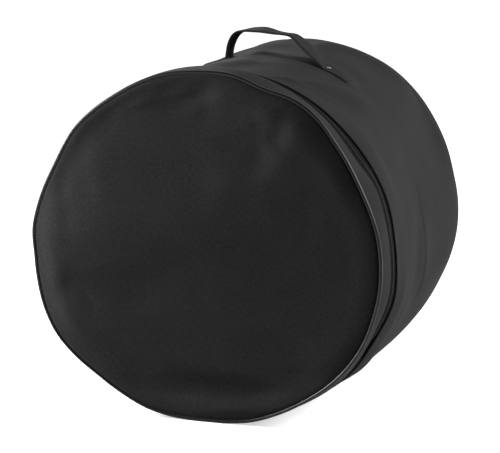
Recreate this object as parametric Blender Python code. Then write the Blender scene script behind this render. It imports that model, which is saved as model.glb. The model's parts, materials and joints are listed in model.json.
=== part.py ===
"""Padded, zipped bag for a bass drum, standing on its pressed-flat underside with its lid towards -Y.

Metres, +Z up. The tube of the bag runs along Y, and the origin is on the floor under its middle.
Angles round the tube are in degrees, clockwise from the top as seen from the front.
"""

import math

import bmesh
import bpy
from mathutils import Matrix, Vector

# The tube of the bag
RADIUS = 0.300
REST_HEIGHT = 0.287
LENGTH = 0.509
ANGLE_STEP = 6.0
FULL_TURN = 360.0
SHARP_ANGLE = 35.0
DISPLAY_GAMMA = 2.2
BENT_VOLUME = 1e-10

# Cloth, foam and the gap kept between touching pieces
CLOTH = 0.001
FOAM = 0.006
LINING = 0.0008
FIT = 0.0003
BINDING_THICKNESS = 0.0008
BINDING_WIDTH = 0.012

# Lid and its piping
PIPING_RADIUS = 0.003
PIPING_WALL = 0.0007
PIPING_INSET = 0.002
PIPING_SIDES = 7
CORD_SIDES = 6
PIPING_SLIT_START = 90.0
PIPING_SLIT_END = 135.0
FACE_SET_BACK = 0.0015
GUSSET_WIDTH = 0.048

# The zipper stops this far from the bottom on either side, and the lid folds level between its ends
FOLD_HALF_ANGLE = 54.0

# Underside, which the bag's weight draws in and presses flat
SETTLE = 0.0065
SETTLING_HALF_ANGLE = 48.0
SETTLED_HALF_ANGLE = 24.0

# Top, where the cloth hangs in behind the zipper's strip
SAG = 0.0105
SAG_RUN = 0.045
SAG_STEPS = 2
# How deep it hangs round the top: angles and shares of the sag, with a ridge at either corner of the drum
SAG_SHARES = (
    (-66, 0.0), (-60, 0.2), (-54, 0.42), (-48, 0.6), (-42, 0.7), (-36, 0.8), (-30, 0.78), (-24, 0.52),
    (-18, 0.3), (-12, 0.66), (-6, 0.9), (0, 1.0), (6, 0.86), (12, 0.56), (18, 0.3), (24, 0.2), (30, 0.1),
    (36, 0.0),
)

# Zipper
STRIP_WIDTH = 0.029
SEAM_ALLOWANCE = 0.008
TAPE = 0.001
COIL_WIDTH = 0.0035
COIL_HEIGHT = 0.0026
COIL_GAP = 0.0016
END_TAB_LENGTH = 0.040
END_TAB_THICKNESS = 0.001

# Sliders
MEETING_ANGLE = -60.0
SLIDER_LENGTH = 0.020
SLIDER_WIDTH = 0.013
SLIDER_PLATE = 0.0016
SLIDER_CLEARANCE = 0.0008
SLIDER_GAP = 0.0015
SLIDER_EDGE = 0.0005
WEB_LENGTH = 0.008
WEB_SET_BACK = 0.001
CROWN_LENGTH = 0.010
CROWN_HEIGHT = 0.005
CROWN_WIDTH = 0.003
CROWN_WALL = 0.0012
CROWN_SINK = 0.0006

# Pulls
PULL_THICKNESS = 0.0014
PULL_WIDTH = 0.0084
PULL_ARM = 0.0018
PULL_BAR = 0.0016
PULL_TAB_LENGTH = 0.030
PULL_LENGTH = 0.052
PULL_CLEARANCE = 0.0015
PIVOT_PLAY = 0.0007
WINDOW_LENGTH = 0.0062
GRIP_START = 0.015
GRIP_WIDTH = 0.011
GRIP_THICKNESS = 0.004
GRIP_EDGE = 0.0012
CUT_OVERRUN = 0.0015

# Handle
HANDLE_ANGLE = 8.0
HANDLE_SETBACK = 0.262
STRAP_WIDTH = 0.040
STRAP_THICKNESS = 0.004
TAB_THICKNESS = 0.0022
TAB_LENGTH = 0.042
FOOT_HALF_SPAN = 0.084
HANDLE_RISE = 0.045
LEG_HEIGHT = 0.024
SWING_HEIGHT = 0.022
LOOP_STEPS = 5

# Strap loop between its feet, left to right: shares of the half span and of the rise
LOOP_SHARES = (
    (-1.00, 0.00), (-1.01, 0.30), (-0.97, 0.62), (-0.84, 0.88), (-0.60, 0.99), (-0.20, 1.00),
    (0.22, 0.99), (0.42, 0.87), (0.65, 0.58), (0.84, 0.28), (1.00, 0.00),
)
# A slider's plate seen from above, nose to tail: shares of its length and width
PLATE_SHARES = (
    (-0.50, -0.36), (-0.34, -0.50), (0.10, -0.50), (0.50, -0.34),
    (0.50, 0.34), (0.10, 0.50), (-0.34, 0.50), (-0.50, 0.36),
)

# Places along the tube, front to back
front = -LENGTH / 2
back = LENGTH / 2
piping_back = front + 2 * PIPING_RADIUS
face_front = front + FACE_SET_BACK
face_back = face_front + CLOTH
lid_foam_front = face_back + FIT
lid_foam_back = lid_foam_front + FOAM
lid_lining_front = lid_foam_back + FIT
lid_lining_back = lid_lining_front + LINING
strip_front = front + GUSSET_WIDTH
strip_back = strip_front + STRIP_WIDTH
strip_middle = (strip_front + strip_back) / 2
lid_tape_front = strip_front - SEAM_ALLOWANCE
body_tape_back = strip_back + SEAM_ALLOWANCE
body_foam_front = body_tape_back + FIT
back_cloth_front = back - CLOTH
back_foam_front = back_cloth_front - FIT - FOAM
back_lining_front = back_foam_front - FIT - LINING

# Radii, outside to inside
cloth_inside = RADIUS - CLOTH
tape_outside = cloth_inside - FIT
tape_inside = tape_outside - TAPE
tape_middle = (tape_outside + tape_inside) / 2
foam_outside = cloth_inside - FIT
foam_inside = foam_outside - FOAM
lining_outside = foam_inside - FIT
lining_inside = lining_outside - LINING
binding_outside = lining_inside - FIT
binding_inside = binding_outside - BINDING_THICKNESS
coil_outside = tape_middle + COIL_HEIGHT / 2
coil_inside = tape_middle - COIL_HEIGHT / 2
piping_path = RADIUS - PIPING_INSET
face_radius = piping_path - PIPING_RADIUS - FIT

# What a straight facet falls short of its arc, kept clear by pieces laid over the outside
facet_sag = RADIUS * (1 - math.cos(math.radians(ANGLE_STEP / 2)))
over_cloth = RADIUS + FIT + facet_sag

# The round front stands this much higher than the body, so that its piping just meets the floor
rim_lift = PIPING_RADIUS - PIPING_INSET
track_end = FULL_TURN / 2 - FOLD_HALF_ANGLE
track_gap = math.degrees(2 * FIT / RADIUS)
fold = -RADIUS * math.cos(math.radians(FOLD_HALF_ANGLE))

tube_axis = Vector((0, 0, REST_HEIGHT))
lid_hinge = Vector((0, front, REST_HEIGHT + fold))

for old in list(bpy.data.objects):
    bpy.data.objects.remove(old)


def finish_material(name, colour, roughness, metallic=0.0):
    """A Principled material from an sRGB colour, given as three numbers from 0 to 255."""
    material = bpy.data.materials.new(name)
    material.use_nodes = True
    shader = material.node_tree.nodes["Principled BSDF"]
    linear = [(channel / 255) ** DISPLAY_GAMMA for channel in colour]
    shader.inputs["Base Color"].default_value = (*linear, 1)
    shader.inputs["Roughness"].default_value = roughness
    shader.inputs["Metallic"].default_value = metallic
    return material


outer_cloth = finish_material("outer_cloth", (44, 44, 45), 0.85)
lining_cloth = finish_material("lining_cloth", (52, 52, 55), 0.95)
foam_fill = finish_material("foam_fill", (96, 97, 100), 0.95)
piping_vinyl = finish_material("piping_vinyl", (30, 30, 31), 0.35)
binding_tape = finish_material("binding_tape", (34, 34, 35), 0.9)
zipper_tape = finish_material("zipper_tape", (28, 28, 29), 0.9)
zipper_coil = finish_material("zipper_coil", (22, 22, 23), 0.45)
slider_metal = finish_material("slider_metal", (40, 40, 42), 0.4, 0.8)
grip_rubber = finish_material("grip_rubber", (26, 26, 27), 0.7)
strap_webbing = finish_material("strap_webbing", (38, 38, 39), 0.9)


def pivot(name, place, parent=None, turn=0.0):
    """An empty on a joint's axis, turned about Y by an angle in degrees."""
    empty = bpy.data.objects.new(name, None)
    bpy.context.scene.collection.objects.link(empty)
    empty.parent = parent
    empty.location = place
    empty.rotation_euler.y = math.radians(turn)
    return empty


def piece(name, mesh, material, parent, place=(0, 0, 0)):
    """A named object from a bmesh, facing outwards, placed in its parent's frame."""
    bmesh.ops.recalc_face_normals(mesh, faces=mesh.faces)
    data = bpy.data.meshes.new(name)
    mesh.to_mesh(data)
    mesh.free()
    data.materials.append(material)
    data.shade_smooth()
    data.set_sharp_from_angle(angle=math.radians(SHARP_ANGLE))
    made = bpy.data.objects.new(name, data)
    bpy.context.scene.collection.objects.link(made)
    made.parent = parent
    made.location = place
    return made


def eased(share):
    """A share from 0 to 1 that starts and stops softly."""
    share = min(max(share, 0), 1)
    return share * share * (3 - 2 * share)


def sag_at(angle, y):
    """How far the body's top hangs in, at an angle from the top and a place along the tube."""
    deep = SAG * eased((y - body_foam_front) / SAG_RUN)
    for (before, low), (after, high) in zip(SAG_SHARES, SAG_SHARES[1:]):
        if before <= angle <= after:
            return deep * (low + (high - low) * (angle - before) / (after - before))
    return 0.0


def around(vertex):
    """A corner's angle from the top."""
    return math.degrees(math.atan2(vertex.co.x, vertex.co.z))


def settle(mesh, lift):
    """Draws the underside of a turned shape in and presses it flat, and lets its top hang in behind the
    zipper, each layer by the same amount."""
    for vertex in mesh.verts:
        radius = math.hypot(vertex.co.x, vertex.co.z)
        from_bottom = FULL_TURN / 2 - abs(around(vertex))
        share = (SETTLING_HALF_ANGLE - from_bottom) / (SETTLING_HALF_ANGLE - SETTLED_HALF_ANGLE)
        kept = 1 - (SETTLE * eased(share) + sag_at(around(vertex), vertex.co.y)) / radius
        drop = REST_HEIGHT - lift - (RADIUS - radius)
        vertex.co.x *= kept
        vertex.co.z = max(vertex.co.z * kept, -drop)
    for face in mesh.faces[:]:
        if len(face.verts) == 4 and is_bent(face):
            order = sorted(face.verts, key=lambda vertex: (round(vertex.co.y, 6), around(vertex)))
            bmesh.utils.face_split(face, order[0], order[-1])


def is_bent(face):
    """Whether a face's four corners are off one plane."""
    a, b, c, d = (vertex.co for vertex in face.verts)
    return abs((b - a).cross(c - a).dot(d - a)) > BENT_VOLUME


def turned(profile, start=-FULL_TURN / 2, end=FULL_TURN / 2, lift=0.0):
    """A mesh spun about the tube's axis from a closed outline of (radius, y) corners."""
    mesh = bmesh.new()
    corners = [mesh.verts.new((0, y, radius)) for radius, y in profile]
    whole = end - start >= FULL_TURN
    if whole:
        section = [mesh.edges.new(pair) for pair in zip(corners, corners[1:] + corners[:1])]
    else:
        section = [mesh.faces.new(corners)]
    bmesh.ops.rotate(mesh, verts=corners, cent=(0, 0, 0),
                     matrix=Matrix.Rotation(math.radians(start), 3, "Y"))
    bmesh.ops.spin(mesh, geom=corners + section, cent=(0, 0, 0), axis=(0, 1, 0),
                   angle=math.radians(end - start), steps=round((end - start) / ANGLE_STEP),
                   use_merge=whole)
    settle(mesh, lift)
    return mesh


def wall(inside, outside, near, far, between=()):
    """The section of a tube wall between two radii and two places along the tube."""
    there = [(outside, y) for y in between]
    back_again = [(inside, y) for y in reversed(between)]
    return [(inside, near), (outside, near), *there, (outside, far), (inside, far), *back_again]


def disc(radius, near, far, lift=0.0):
    """A round panel of the bag, as thick as from near to far."""
    mesh = bmesh.new()
    made = bmesh.ops.create_circle(mesh, cap_ends=True, radius=radius,
                                   segments=round(FULL_TURN / ANGLE_STEP))
    bmesh.ops.rotate(mesh, verts=made["verts"], cent=(0, 0, 0),
                     matrix=Matrix.Rotation(math.radians(90), 3, "X"))
    bmesh.ops.translate(mesh, verts=mesh.verts, vec=(0, near, 0))
    settle(mesh, lift)
    grown = bmesh.ops.extrude_face_region(mesh, geom=mesh.faces[:])
    moved = [item for item in grown["geom"] if isinstance(item, bmesh.types.BMVert)]
    bmesh.ops.translate(mesh, verts=moved, vec=(0, far - near, 0))
    return mesh


def cut_level(mesh, height, side):
    """Cuts a closed shape at a height, keeps what is above it (side 1) or below it (side -1), and closes it."""
    whole = mesh.verts[:] + mesh.edges[:] + mesh.faces[:]
    cut = bmesh.ops.bisect_plane(mesh, geom=whole, plane_co=(0, 0, height), plane_no=(0, 0, side),
                                 clear_inner=True)
    rims = [item for item in cut["geom_cut"] if isinstance(item, bmesh.types.BMEdge)]
    bmesh.ops.holes_fill(mesh, edges=rims)
    return mesh


def extruded(outline, axes, depth):
    """A prism from an outline in the plane of two axes, centred along the third."""
    mesh = bmesh.new()
    first, second = (Vector(axis) for axis in axes)
    along = first.cross(second)
    start = -along * depth / 2
    corners = [mesh.verts.new(start + first * a + second * b) for a, b in outline]
    face = mesh.faces.new(corners)
    grown = bmesh.ops.extrude_face_region(mesh, geom=[face])
    moved = [item for item in grown["geom"] if isinstance(item, bmesh.types.BMVert)]
    bmesh.ops.translate(mesh, verts=moved, vec=along * depth)
    return mesh


def block(name, size, place, material, parent, edge=0.0):
    """A box by its size and centre, its edges bevelled where an edge width is given."""
    mesh = bmesh.new()
    bmesh.ops.create_cube(mesh, size=1)
    bmesh.ops.scale(mesh, verts=mesh.verts, vec=size)
    if edge:
        bmesh.ops.bevel(mesh, geom=mesh.edges[:], offset=edge, segments=1, affect="EDGES")
    bmesh.ops.translate(mesh, verts=mesh.verts, vec=place)
    return piece(name, mesh, material, parent)


def combine(target, tool, operation):
    """Joins a tool to a piece, or cuts it out. The tool is only a guide afterwards."""
    modifier = target.modifiers.new(operation.lower(), "BOOLEAN")
    modifier.operation = operation
    modifier.solver = "EXACT"
    modifier.object = tool
    tool.hide_render = True
    tool.display_type = "WIRE"


# Every piece below is drawn in the tube's frame, whose origin is on the tube's axis
tube = pivot("tube_axis", tube_axis)
lid = pivot("lid_hinge_axis", lid_hinge)
lid_place = tube_axis - lid_hinge


def body_piece(name, mesh, material):
    return piece(name, mesh, material, tube)


def lid_piece(name, mesh, material):
    return piece(name, mesh, material, lid, lid_place)


def make_body():
    """The tube from the zipper to the back: cloth, foam and lining, with corners where the top hangs in."""
    hanging = [body_foam_front + SAG_RUN * (i + 1) / SAG_STEPS for i in range(SAG_STEPS)]
    cloth_end = back_cloth_front - FIT
    lining_end = back_foam_front - FIT
    body_piece("body_outer_panel",
               turned(wall(cloth_inside, RADIUS, strip_back, cloth_end, [body_foam_front, *hanging])),
               outer_cloth)
    body_piece("body_padding", turned(wall(foam_inside, foam_outside, body_foam_front, cloth_end, hanging)),
               foam_fill)
    body_piece("body_lining", turned(wall(lining_inside, lining_outside, body_foam_front, lining_end, hanging)),
               lining_cloth)


def make_back():
    """The round back: cloth, foam, lining and the tape over its inner seam."""
    body_piece("back_outer_panel", disc(RADIUS, back_cloth_front, back), outer_cloth)
    body_piece("back_padding", disc(foam_inside - FIT, back_foam_front, back_foam_front + FOAM), foam_fill)
    body_piece("back_lining", disc(lining_inside - FIT, back_lining_front, back_lining_front + LINING),
               lining_cloth)
    binding_back = back_lining_front - FIT
    body_piece("back_seam_binding",
               turned(wall(binding_inside, binding_outside, binding_back - BINDING_WIDTH, binding_back)),
               binding_tape)


def make_hinge():
    """The span of the band at the bottom that the zipper leaves closed."""
    start = track_end + track_gap
    end = FULL_TURN - start
    inner_front = lid_foam_back + FIT
    body_piece("hinge_outer_panel",
               turned(wall(cloth_inside, RADIUS, piping_back + FIT, strip_back - FIT), start, end), outer_cloth)
    body_piece("hinge_padding",
               turned(wall(foam_inside, foam_outside, inner_front, body_foam_front - FIT), start, end), foam_fill)
    body_piece("hinge_lining",
               turned(wall(lining_inside, lining_outside, inner_front, body_foam_front - FIT), start, end),
               lining_cloth)


def make_front():
    """The round front: cloth, foam, lining and piping. It folds where the zipper ends, so that the lid is
    what lies above the fold, and the rest stays with the body."""
    for name, side, place in (("lid", 1, lid_piece), ("lower", -1, body_piece)):
        height = fold + side * FIT
        cloth = disc(face_radius, face_front, face_back, rim_lift)
        foam = disc(face_radius, lid_foam_front, lid_foam_back, rim_lift)
        lining = disc(lining_inside - FIT, lid_lining_front, lid_lining_back, rim_lift)
        place(name + "_outer_panel", cut_level(cloth, height, side), outer_cloth)
        place(name + "_padding", cut_level(foam, height, side), foam_fill)
        place(name + "_lining", cut_level(lining, height, side), lining_cloth)
        place(name + "_piping", cut_level(piping_cover(), height, side), piping_vinyl)
        place(name + "_piping_cord", cut_level(piping_cord(), height, side), binding_tape)


def make_gusset():
    """The band behind the piping, which the zipper is sewn to."""
    start, end = -track_end, track_end
    layer_back = lid_tape_front - FIT
    lid_piece("lid_gusset_panel",
              turned(wall(cloth_inside, RADIUS, piping_back + FIT, strip_front), start, end), outer_cloth)
    lid_piece("lid_gusset_padding",
              turned(wall(foam_inside, foam_outside, lid_foam_back + FIT, layer_back), start, end), foam_fill)
    lid_piece("lid_gusset_lining",
              turned(wall(lining_inside, lining_outside, lid_foam_back + FIT, layer_back), start, end),
              lining_cloth)
    binding_front = lid_lining_back + FIT
    binding = wall(binding_inside, binding_outside, binding_front, binding_front + BINDING_WIDTH)
    lid_piece("lid_seam_binding", turned(binding, start, end), binding_tape)
    body_piece("lower_seam_binding", turned(binding, end + track_gap, FULL_TURN - end - track_gap),
               binding_tape)


def piping_ring(radius, angle):
    """A corner of the piping's section, at an angle from straight outwards towards the back."""
    turn = math.radians(angle)
    return (piping_path + radius * math.cos(turn), front + PIPING_RADIUS + radius * math.sin(turn))


def piping_cover():
    """The piping's vinyl cover, open along its sewn slit."""
    reach = FULL_TURN - (PIPING_SLIT_END - PIPING_SLIT_START)
    start = PIPING_SLIT_END - FULL_TURN
    angles = [start + reach * i / PIPING_SIDES for i in range(PIPING_SIDES + 1)]
    outer = [piping_ring(PIPING_RADIUS, angle) for angle in angles]
    inner = [piping_ring(PIPING_RADIUS - PIPING_WALL, angle) for angle in reversed(angles)]
    return turned(outer + inner, lift=rim_lift)


def piping_cord():
    """The cord that fills the piping."""
    cord_radius = PIPING_RADIUS - PIPING_WALL - FIT
    section = [piping_ring(cord_radius, FULL_TURN * i / CORD_SIDES) for i in range(CORD_SIDES)]
    return turned(section, lift=rim_lift)


def make_zipper():
    """Two tapes under the folded cloth edges, a coil on the edge of each, and the end tabs."""
    start, end = -track_end, track_end
    lid_coil_back = strip_middle - COIL_GAP / 2
    lid_coil_front = lid_coil_back - COIL_WIDTH
    body_coil_front = strip_middle + COIL_GAP / 2
    body_coil_back = body_coil_front + COIL_WIDTH
    lid_piece("zip_tape_lid",
              turned(wall(tape_inside, tape_outside, lid_tape_front, lid_coil_front - FIT), start, end),
              zipper_tape)
    lid_piece("zip_coil_lid",
              turned(wall(coil_inside, coil_outside, lid_coil_front, lid_coil_back), start, end), zipper_coil)
    body_piece("zip_tape_body",
               turned(wall(tape_inside, tape_outside, body_coil_back + FIT, body_tape_back), start, end),
               zipper_tape)
    body_piece("zip_coil_body",
               turned(wall(coil_inside, coil_outside, body_coil_front, body_coil_back), start, end), zipper_coil)
    reach = math.degrees(END_TAB_LENGTH / RADIUS)
    near = track_end + track_gap
    section = wall(over_cloth, over_cloth + END_TAB_THICKNESS, strip_front, strip_back - FIT)
    body_piece("zip_end_tab_right", turned(section, near, near + reach), outer_cloth)
    body_piece("zip_end_tab_left", turned(section, -near - reach, -near), outer_cloth)


# Sliders are drawn at the top of the tube: +X is the way the slider opens, +Z is outwards
plate_bottom = coil_outside + SLIDER_CLEARANCE
plate_top = plate_bottom + SLIDER_PLATE
base_top = coil_inside - SLIDER_CLEARANCE
base_bottom = base_top - SLIDER_PLATE
crown_top = plate_top + CROWN_HEIGHT
pivot_height = crown_top - CROWN_WALL - PIVOT_PLAY - PULL_THICKNESS / 2
x_axis, y_axis, z_axis = (1, 0, 0), (0, 1, 0), (0, 0, 1)


def slider_plate(name, low, parent):
    outline = [(SLIDER_LENGTH * a, SLIDER_WIDTH * b) for a, b in PLATE_SHARES]
    mesh = extruded(outline, (x_axis, y_axis), SLIDER_PLATE)
    bmesh.ops.bevel(mesh, geom=mesh.edges[:], offset=SLIDER_EDGE, segments=1, affect="EDGES")
    return piece(name, mesh, slider_metal, parent, (0, strip_middle, low + SLIDER_PLATE / 2))


def crown_outline():
    """An arch along the slider that the pull's bar passes under."""
    half = CROWN_LENGTH / 2
    low = plate_top - CROWN_SINK
    shoulder = CROWN_WALL
    outer = [(-half, low), (-half, crown_top - shoulder), (-half + shoulder, crown_top),
             (half - shoulder, crown_top), (half, crown_top - shoulder), (half, low)]
    inner_half = half - CROWN_WALL
    inner_top = crown_top - CROWN_WALL
    return outer + [(inner_half, low), (inner_half, inner_top), (-inner_half, inner_top), (-inner_half, low)]


def make_slider(name, parent):
    """Two plates round the coils, joined by a web between the coils, with the crown on top."""
    slider = slider_plate(name, plate_bottom, parent)
    base = slider_plate(name + "_base_guide", base_bottom, parent)
    web_middle = -SLIDER_LENGTH / 2 + WEB_SET_BACK + WEB_LENGTH / 2
    web_low = base_bottom + SLIDER_PLATE / 2
    web_high = plate_top - SLIDER_PLATE / 2
    web = block(name + "_web_guide", (WEB_LENGTH, COIL_GAP - 2 * FIT, web_high - web_low),
                (web_middle, strip_middle, (web_low + web_high) / 2), slider_metal, parent)
    crown = piece(name + "_crown_guide", extruded(crown_outline(), (x_axis, z_axis), CROWN_WIDTH),
                  slider_metal, parent, (0, strip_middle, 0))
    for guide in (web, base, crown):
        combine(slider, guide, "UNION")


def pull_outline(start, end, half_width, corner):
    """A tab's outline with cut corners, from start to end."""
    return [(start, -half_width + corner), (start + corner, -half_width), (end - corner, -half_width),
            (end, -half_width + corner), (end, half_width - corner), (end - corner, half_width),
            (start + corner, half_width), (start, half_width - corner)]


def make_pull(letter, parent):
    """A metal tab whose bar lies under the crown, and a moulded grip on its far end."""
    name = "pull_tab_" + letter
    half_bar = PULL_BAR / 2
    outline = pull_outline(-half_bar, PULL_TAB_LENGTH, PULL_WIDTH / 2, half_bar)
    tab = piece(name, extruded(outline, (x_axis, y_axis), PULL_THICKNESS), slider_metal, parent)
    window = block(name + "_window_guide",
                   (WINDOW_LENGTH, PULL_WIDTH - 2 * PULL_ARM, PULL_THICKNESS + 2 * CUT_OVERRUN),
                   (half_bar + WINDOW_LENGTH / 2, 0, 0), slider_metal, parent)
    combine(tab, window, "DIFFERENCE")
    grip_length = PULL_LENGTH - GRIP_START
    grip = block("pull_grip_" + letter, (grip_length, GRIP_WIDTH, GRIP_THICKNESS),
                 (GRIP_START + grip_length / 2, 0, 0), grip_rubber, parent, GRIP_EDGE)
    pocket_end = PULL_TAB_LENGTH + FIT
    pocket_length = pocket_end - GRIP_START + CUT_OVERRUN
    pocket = block(name + "_pocket_guide", (pocket_length, PULL_WIDTH + 2 * FIT, PULL_THICKNESS + 2 * FIT),
                   (pocket_end - pocket_length / 2, 0, 0), slider_metal, parent)
    combine(grip, pocket, "DIFFERENCE")


def pull_droop():
    """How far a pull leans down from the slider until its tip lies just over the cloth."""
    rest_radius = over_cloth + END_TAB_THICKNESS + PULL_CLEARANCE + GRIP_THICKNESS / 2
    tip_height = math.sqrt(rest_radius ** 2 - PULL_LENGTH ** 2)
    return math.degrees(math.asin((pivot_height - tip_height) / PULL_LENGTH))


def make_sliders():
    """Two sliders nose to nose, each opening away from the other, with their pulls."""
    half_pair = math.degrees((SLIDER_LENGTH + SLIDER_GAP) / 2 / RADIUS)
    for letter, side in (("a", 1), ("b", -1)):
        axis = pivot("slider_" + letter + "_axis", tube_axis, turn=MEETING_ANGLE + side * half_pair)
        facing = pivot("slider_" + letter + "_facing", (0, 0, 0), axis)
        facing.scale.x = side
        make_slider("slider_" + letter, facing)
        hinge = pivot("pull_" + letter + "_axis", (0, strip_middle, pivot_height), facing, pull_droop())
        make_pull(letter, hinge)


def smooth_curve(points, steps):
    """Points of a Catmull-Rom curve through the given ones, which it also ends on."""
    padded = [2 * points[0] - points[1], *points, 2 * points[-1] - points[-2]]
    curve = []
    for a, b, c, d in zip(padded, padded[1:], padded[2:], padded[3:]):
        for step in range(steps):
            t = step / steps
            curve.append(0.5 * ((2 * b) + (c - a) * t + (2 * a - 5 * b + 4 * c - d) * t ** 2
                                + (3 * b - a - 3 * c + d) * t ** 3))
    curve.append(points[-1])
    return curve


def tab_radius(angle, y):
    """The radius of a tab's middle where it lies on the cloth, at an angle in the handle's frame."""
    return over_cloth + TAB_THICKNESS / 2 - sag_at(angle + HANDLE_ANGLE, y)


def tab_path(start, end, y):
    """Points (across, up) of a tab on the cloth, between angles in degrees."""
    angles = [start + (end - start) * i / LOOP_STEPS for i in range(LOOP_STEPS + 1)]
    return [Vector((tab_radius(angle, y) * math.sin(math.radians(angle)),
                    tab_radius(angle, y) * math.cos(math.radians(angle)))) for angle in angles]


def ribbon(name, path, thickness, parent, place):
    """A flat strap along a path of (across, up) points, as wide as the handle's strap."""
    left, right = [], []
    for i, point in enumerate(path):
        ahead = path[min(i + 1, len(path) - 1)] - path[max(i - 1, 0)]
        side = Vector((-ahead.y, ahead.x)).normalized() * thickness / 2
        left.append(point + side)
        right.append(point - side)
    outline = [tuple(corner) for corner in left + right[::-1]]
    return piece(name, extruded(outline, (x_axis, z_axis), STRAP_WIDTH), strap_webbing, parent, place)


def above(path, height, rising):
    """The part of a path from one end to where it crosses a height, and the crossing point."""
    order = path if rising else path[::-1]
    kept = [order[0]]
    for a, b in zip(order, order[1:]):
        if b.y >= height:
            kept.append(a.lerp(b, (height - a.y) / (b.y - a.y)))
            break
        kept.append(b)
    return kept if rising else kept[::-1]


def make_handle():
    """Two tabs sewn flat to the cloth, two legs that bend, and the strap that swings on them."""
    strap_y = front + HANDLE_SETBACK
    true_radius = over_cloth + TAB_THICKNESS / 2
    foot_angle = math.degrees(math.asin(FOOT_HALF_SPAN / true_radius))
    foot_height = true_radius * math.cos(math.radians(foot_angle))
    foot = Vector((0, foot_height + (STRAP_THICKNESS - TAB_THICKNESS) / 2))
    line = [foot + Vector((FOOT_HALF_SPAN * a, HANDLE_RISE * b)) for a, b in LOOP_SHARES]
    for end, angle in ((0, -foot_angle), (-1, foot_angle)):
        line[end].y -= sag_at(angle + HANDLE_ANGLE, strap_y) * math.cos(math.radians(foot_angle))
    loop = smooth_curve(line, LOOP_STEPS)
    leg_top = foot.y + LEG_HEIGHT
    swing = foot.y + SWING_HEIGHT
    gap = Vector((0, FIT))
    frame = pivot("handle_frame", tube_axis, turn=HANDLE_ANGLE)
    axis = pivot("handle_swing_axis", (0, strap_y, swing), frame)

    left_leg = above(loop, leg_top, True)
    right_leg = above(loop, leg_top, False)
    middle = [left_leg[-1] + gap, *[p for p in loop if p.y > leg_top + 2 * FIT], right_leg[0] + gap]
    ribbon("handle_strap", middle, STRAP_THICKNESS, axis, (0, 0, -swing))
    ribbon("handle_leg_left", left_leg, STRAP_THICKNESS, frame, (0, strap_y, 0))
    ribbon("handle_leg_right", right_leg, STRAP_THICKNESS, frame, (0, strap_y, 0))

    tab_start = foot_angle + math.degrees((STRAP_THICKNESS / 2 + FIT) / true_radius)
    tab_end = tab_start + math.degrees(TAB_LENGTH / true_radius)
    ribbon("handle_tab_left", tab_path(-tab_end, -tab_start, strap_y), TAB_THICKNESS, frame, (0, strap_y, 0))
    ribbon("handle_tab_right", tab_path(tab_start, tab_end, strap_y), TAB_THICKNESS, frame, (0, strap_y, 0))


make_body()
make_back()
make_hinge()
make_front()
make_gusset()
make_zipper()
make_sliders()
make_handle()
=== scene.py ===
# %% [markdown]
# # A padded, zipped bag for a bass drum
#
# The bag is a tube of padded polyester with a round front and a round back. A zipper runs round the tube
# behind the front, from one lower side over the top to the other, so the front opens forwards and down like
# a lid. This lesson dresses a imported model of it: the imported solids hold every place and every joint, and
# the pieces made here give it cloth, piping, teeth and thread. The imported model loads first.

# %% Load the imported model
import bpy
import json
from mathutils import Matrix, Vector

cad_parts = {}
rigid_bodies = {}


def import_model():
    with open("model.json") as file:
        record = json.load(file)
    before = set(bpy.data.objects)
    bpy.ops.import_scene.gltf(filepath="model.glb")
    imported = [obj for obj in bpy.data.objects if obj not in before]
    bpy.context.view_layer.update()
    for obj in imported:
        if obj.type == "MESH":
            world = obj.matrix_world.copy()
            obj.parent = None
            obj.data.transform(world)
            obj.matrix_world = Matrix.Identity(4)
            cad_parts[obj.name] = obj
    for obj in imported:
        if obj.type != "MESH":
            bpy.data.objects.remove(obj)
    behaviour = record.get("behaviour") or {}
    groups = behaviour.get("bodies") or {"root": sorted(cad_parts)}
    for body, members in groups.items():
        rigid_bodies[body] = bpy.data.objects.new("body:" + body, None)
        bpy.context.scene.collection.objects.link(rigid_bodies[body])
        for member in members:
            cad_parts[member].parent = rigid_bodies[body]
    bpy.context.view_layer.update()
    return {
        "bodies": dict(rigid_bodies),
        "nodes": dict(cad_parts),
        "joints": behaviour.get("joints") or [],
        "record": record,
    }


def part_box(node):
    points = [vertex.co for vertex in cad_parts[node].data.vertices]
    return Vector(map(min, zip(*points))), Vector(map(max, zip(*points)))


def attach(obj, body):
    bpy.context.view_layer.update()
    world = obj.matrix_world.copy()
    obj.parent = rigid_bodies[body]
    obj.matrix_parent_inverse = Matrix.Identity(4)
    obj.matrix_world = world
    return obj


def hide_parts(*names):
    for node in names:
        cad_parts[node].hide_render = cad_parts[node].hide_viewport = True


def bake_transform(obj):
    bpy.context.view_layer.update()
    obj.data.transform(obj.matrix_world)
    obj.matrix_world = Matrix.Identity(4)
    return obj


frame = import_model()

import json
import math

import bmesh
import bpy
import numpy as np
from mathutils import Vector

# %% [markdown]
# ## Measures that every piece shares
#
# Angles go round the tube in degrees, clockwise from the top as the front is seen. Depths go inwards from
# the tube's skin. The seams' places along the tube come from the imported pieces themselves, so a change in
# the model moves them here too.

# %% Shared measures
MM = 0.001
AXIS_HEIGHT = 0.287
RADIUS = 0.300
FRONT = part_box("lid_piping")[0][1]
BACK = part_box("back_outer_panel")[1][1]
LID_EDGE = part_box("lid_gusset_panel")[1][1]
BODY_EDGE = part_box("body_outer_panel")[0][1]
STRIP_MIDDLE = (LID_EDGE + BODY_EDGE) / 2
PIPING_RADIUS = 0.003
PIPING_INSET = 0.002
PIPING_MIDDLE = FRONT + PIPING_RADIUS
ZIP_END = 126.0

# %% [markdown]
# ## Camera, lamps, floor
#
# The bag stands on a white sweep between two soft lamps. A large one stands high on the right, a little
# behind the front, and makes the side of the tube the lightest. A smaller one stands low on the left and
# grazes the front: the front stays the darkest face, but its folds show. The camera is far away with a long
# lens, as in a studio, so the round front stays round.

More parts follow.
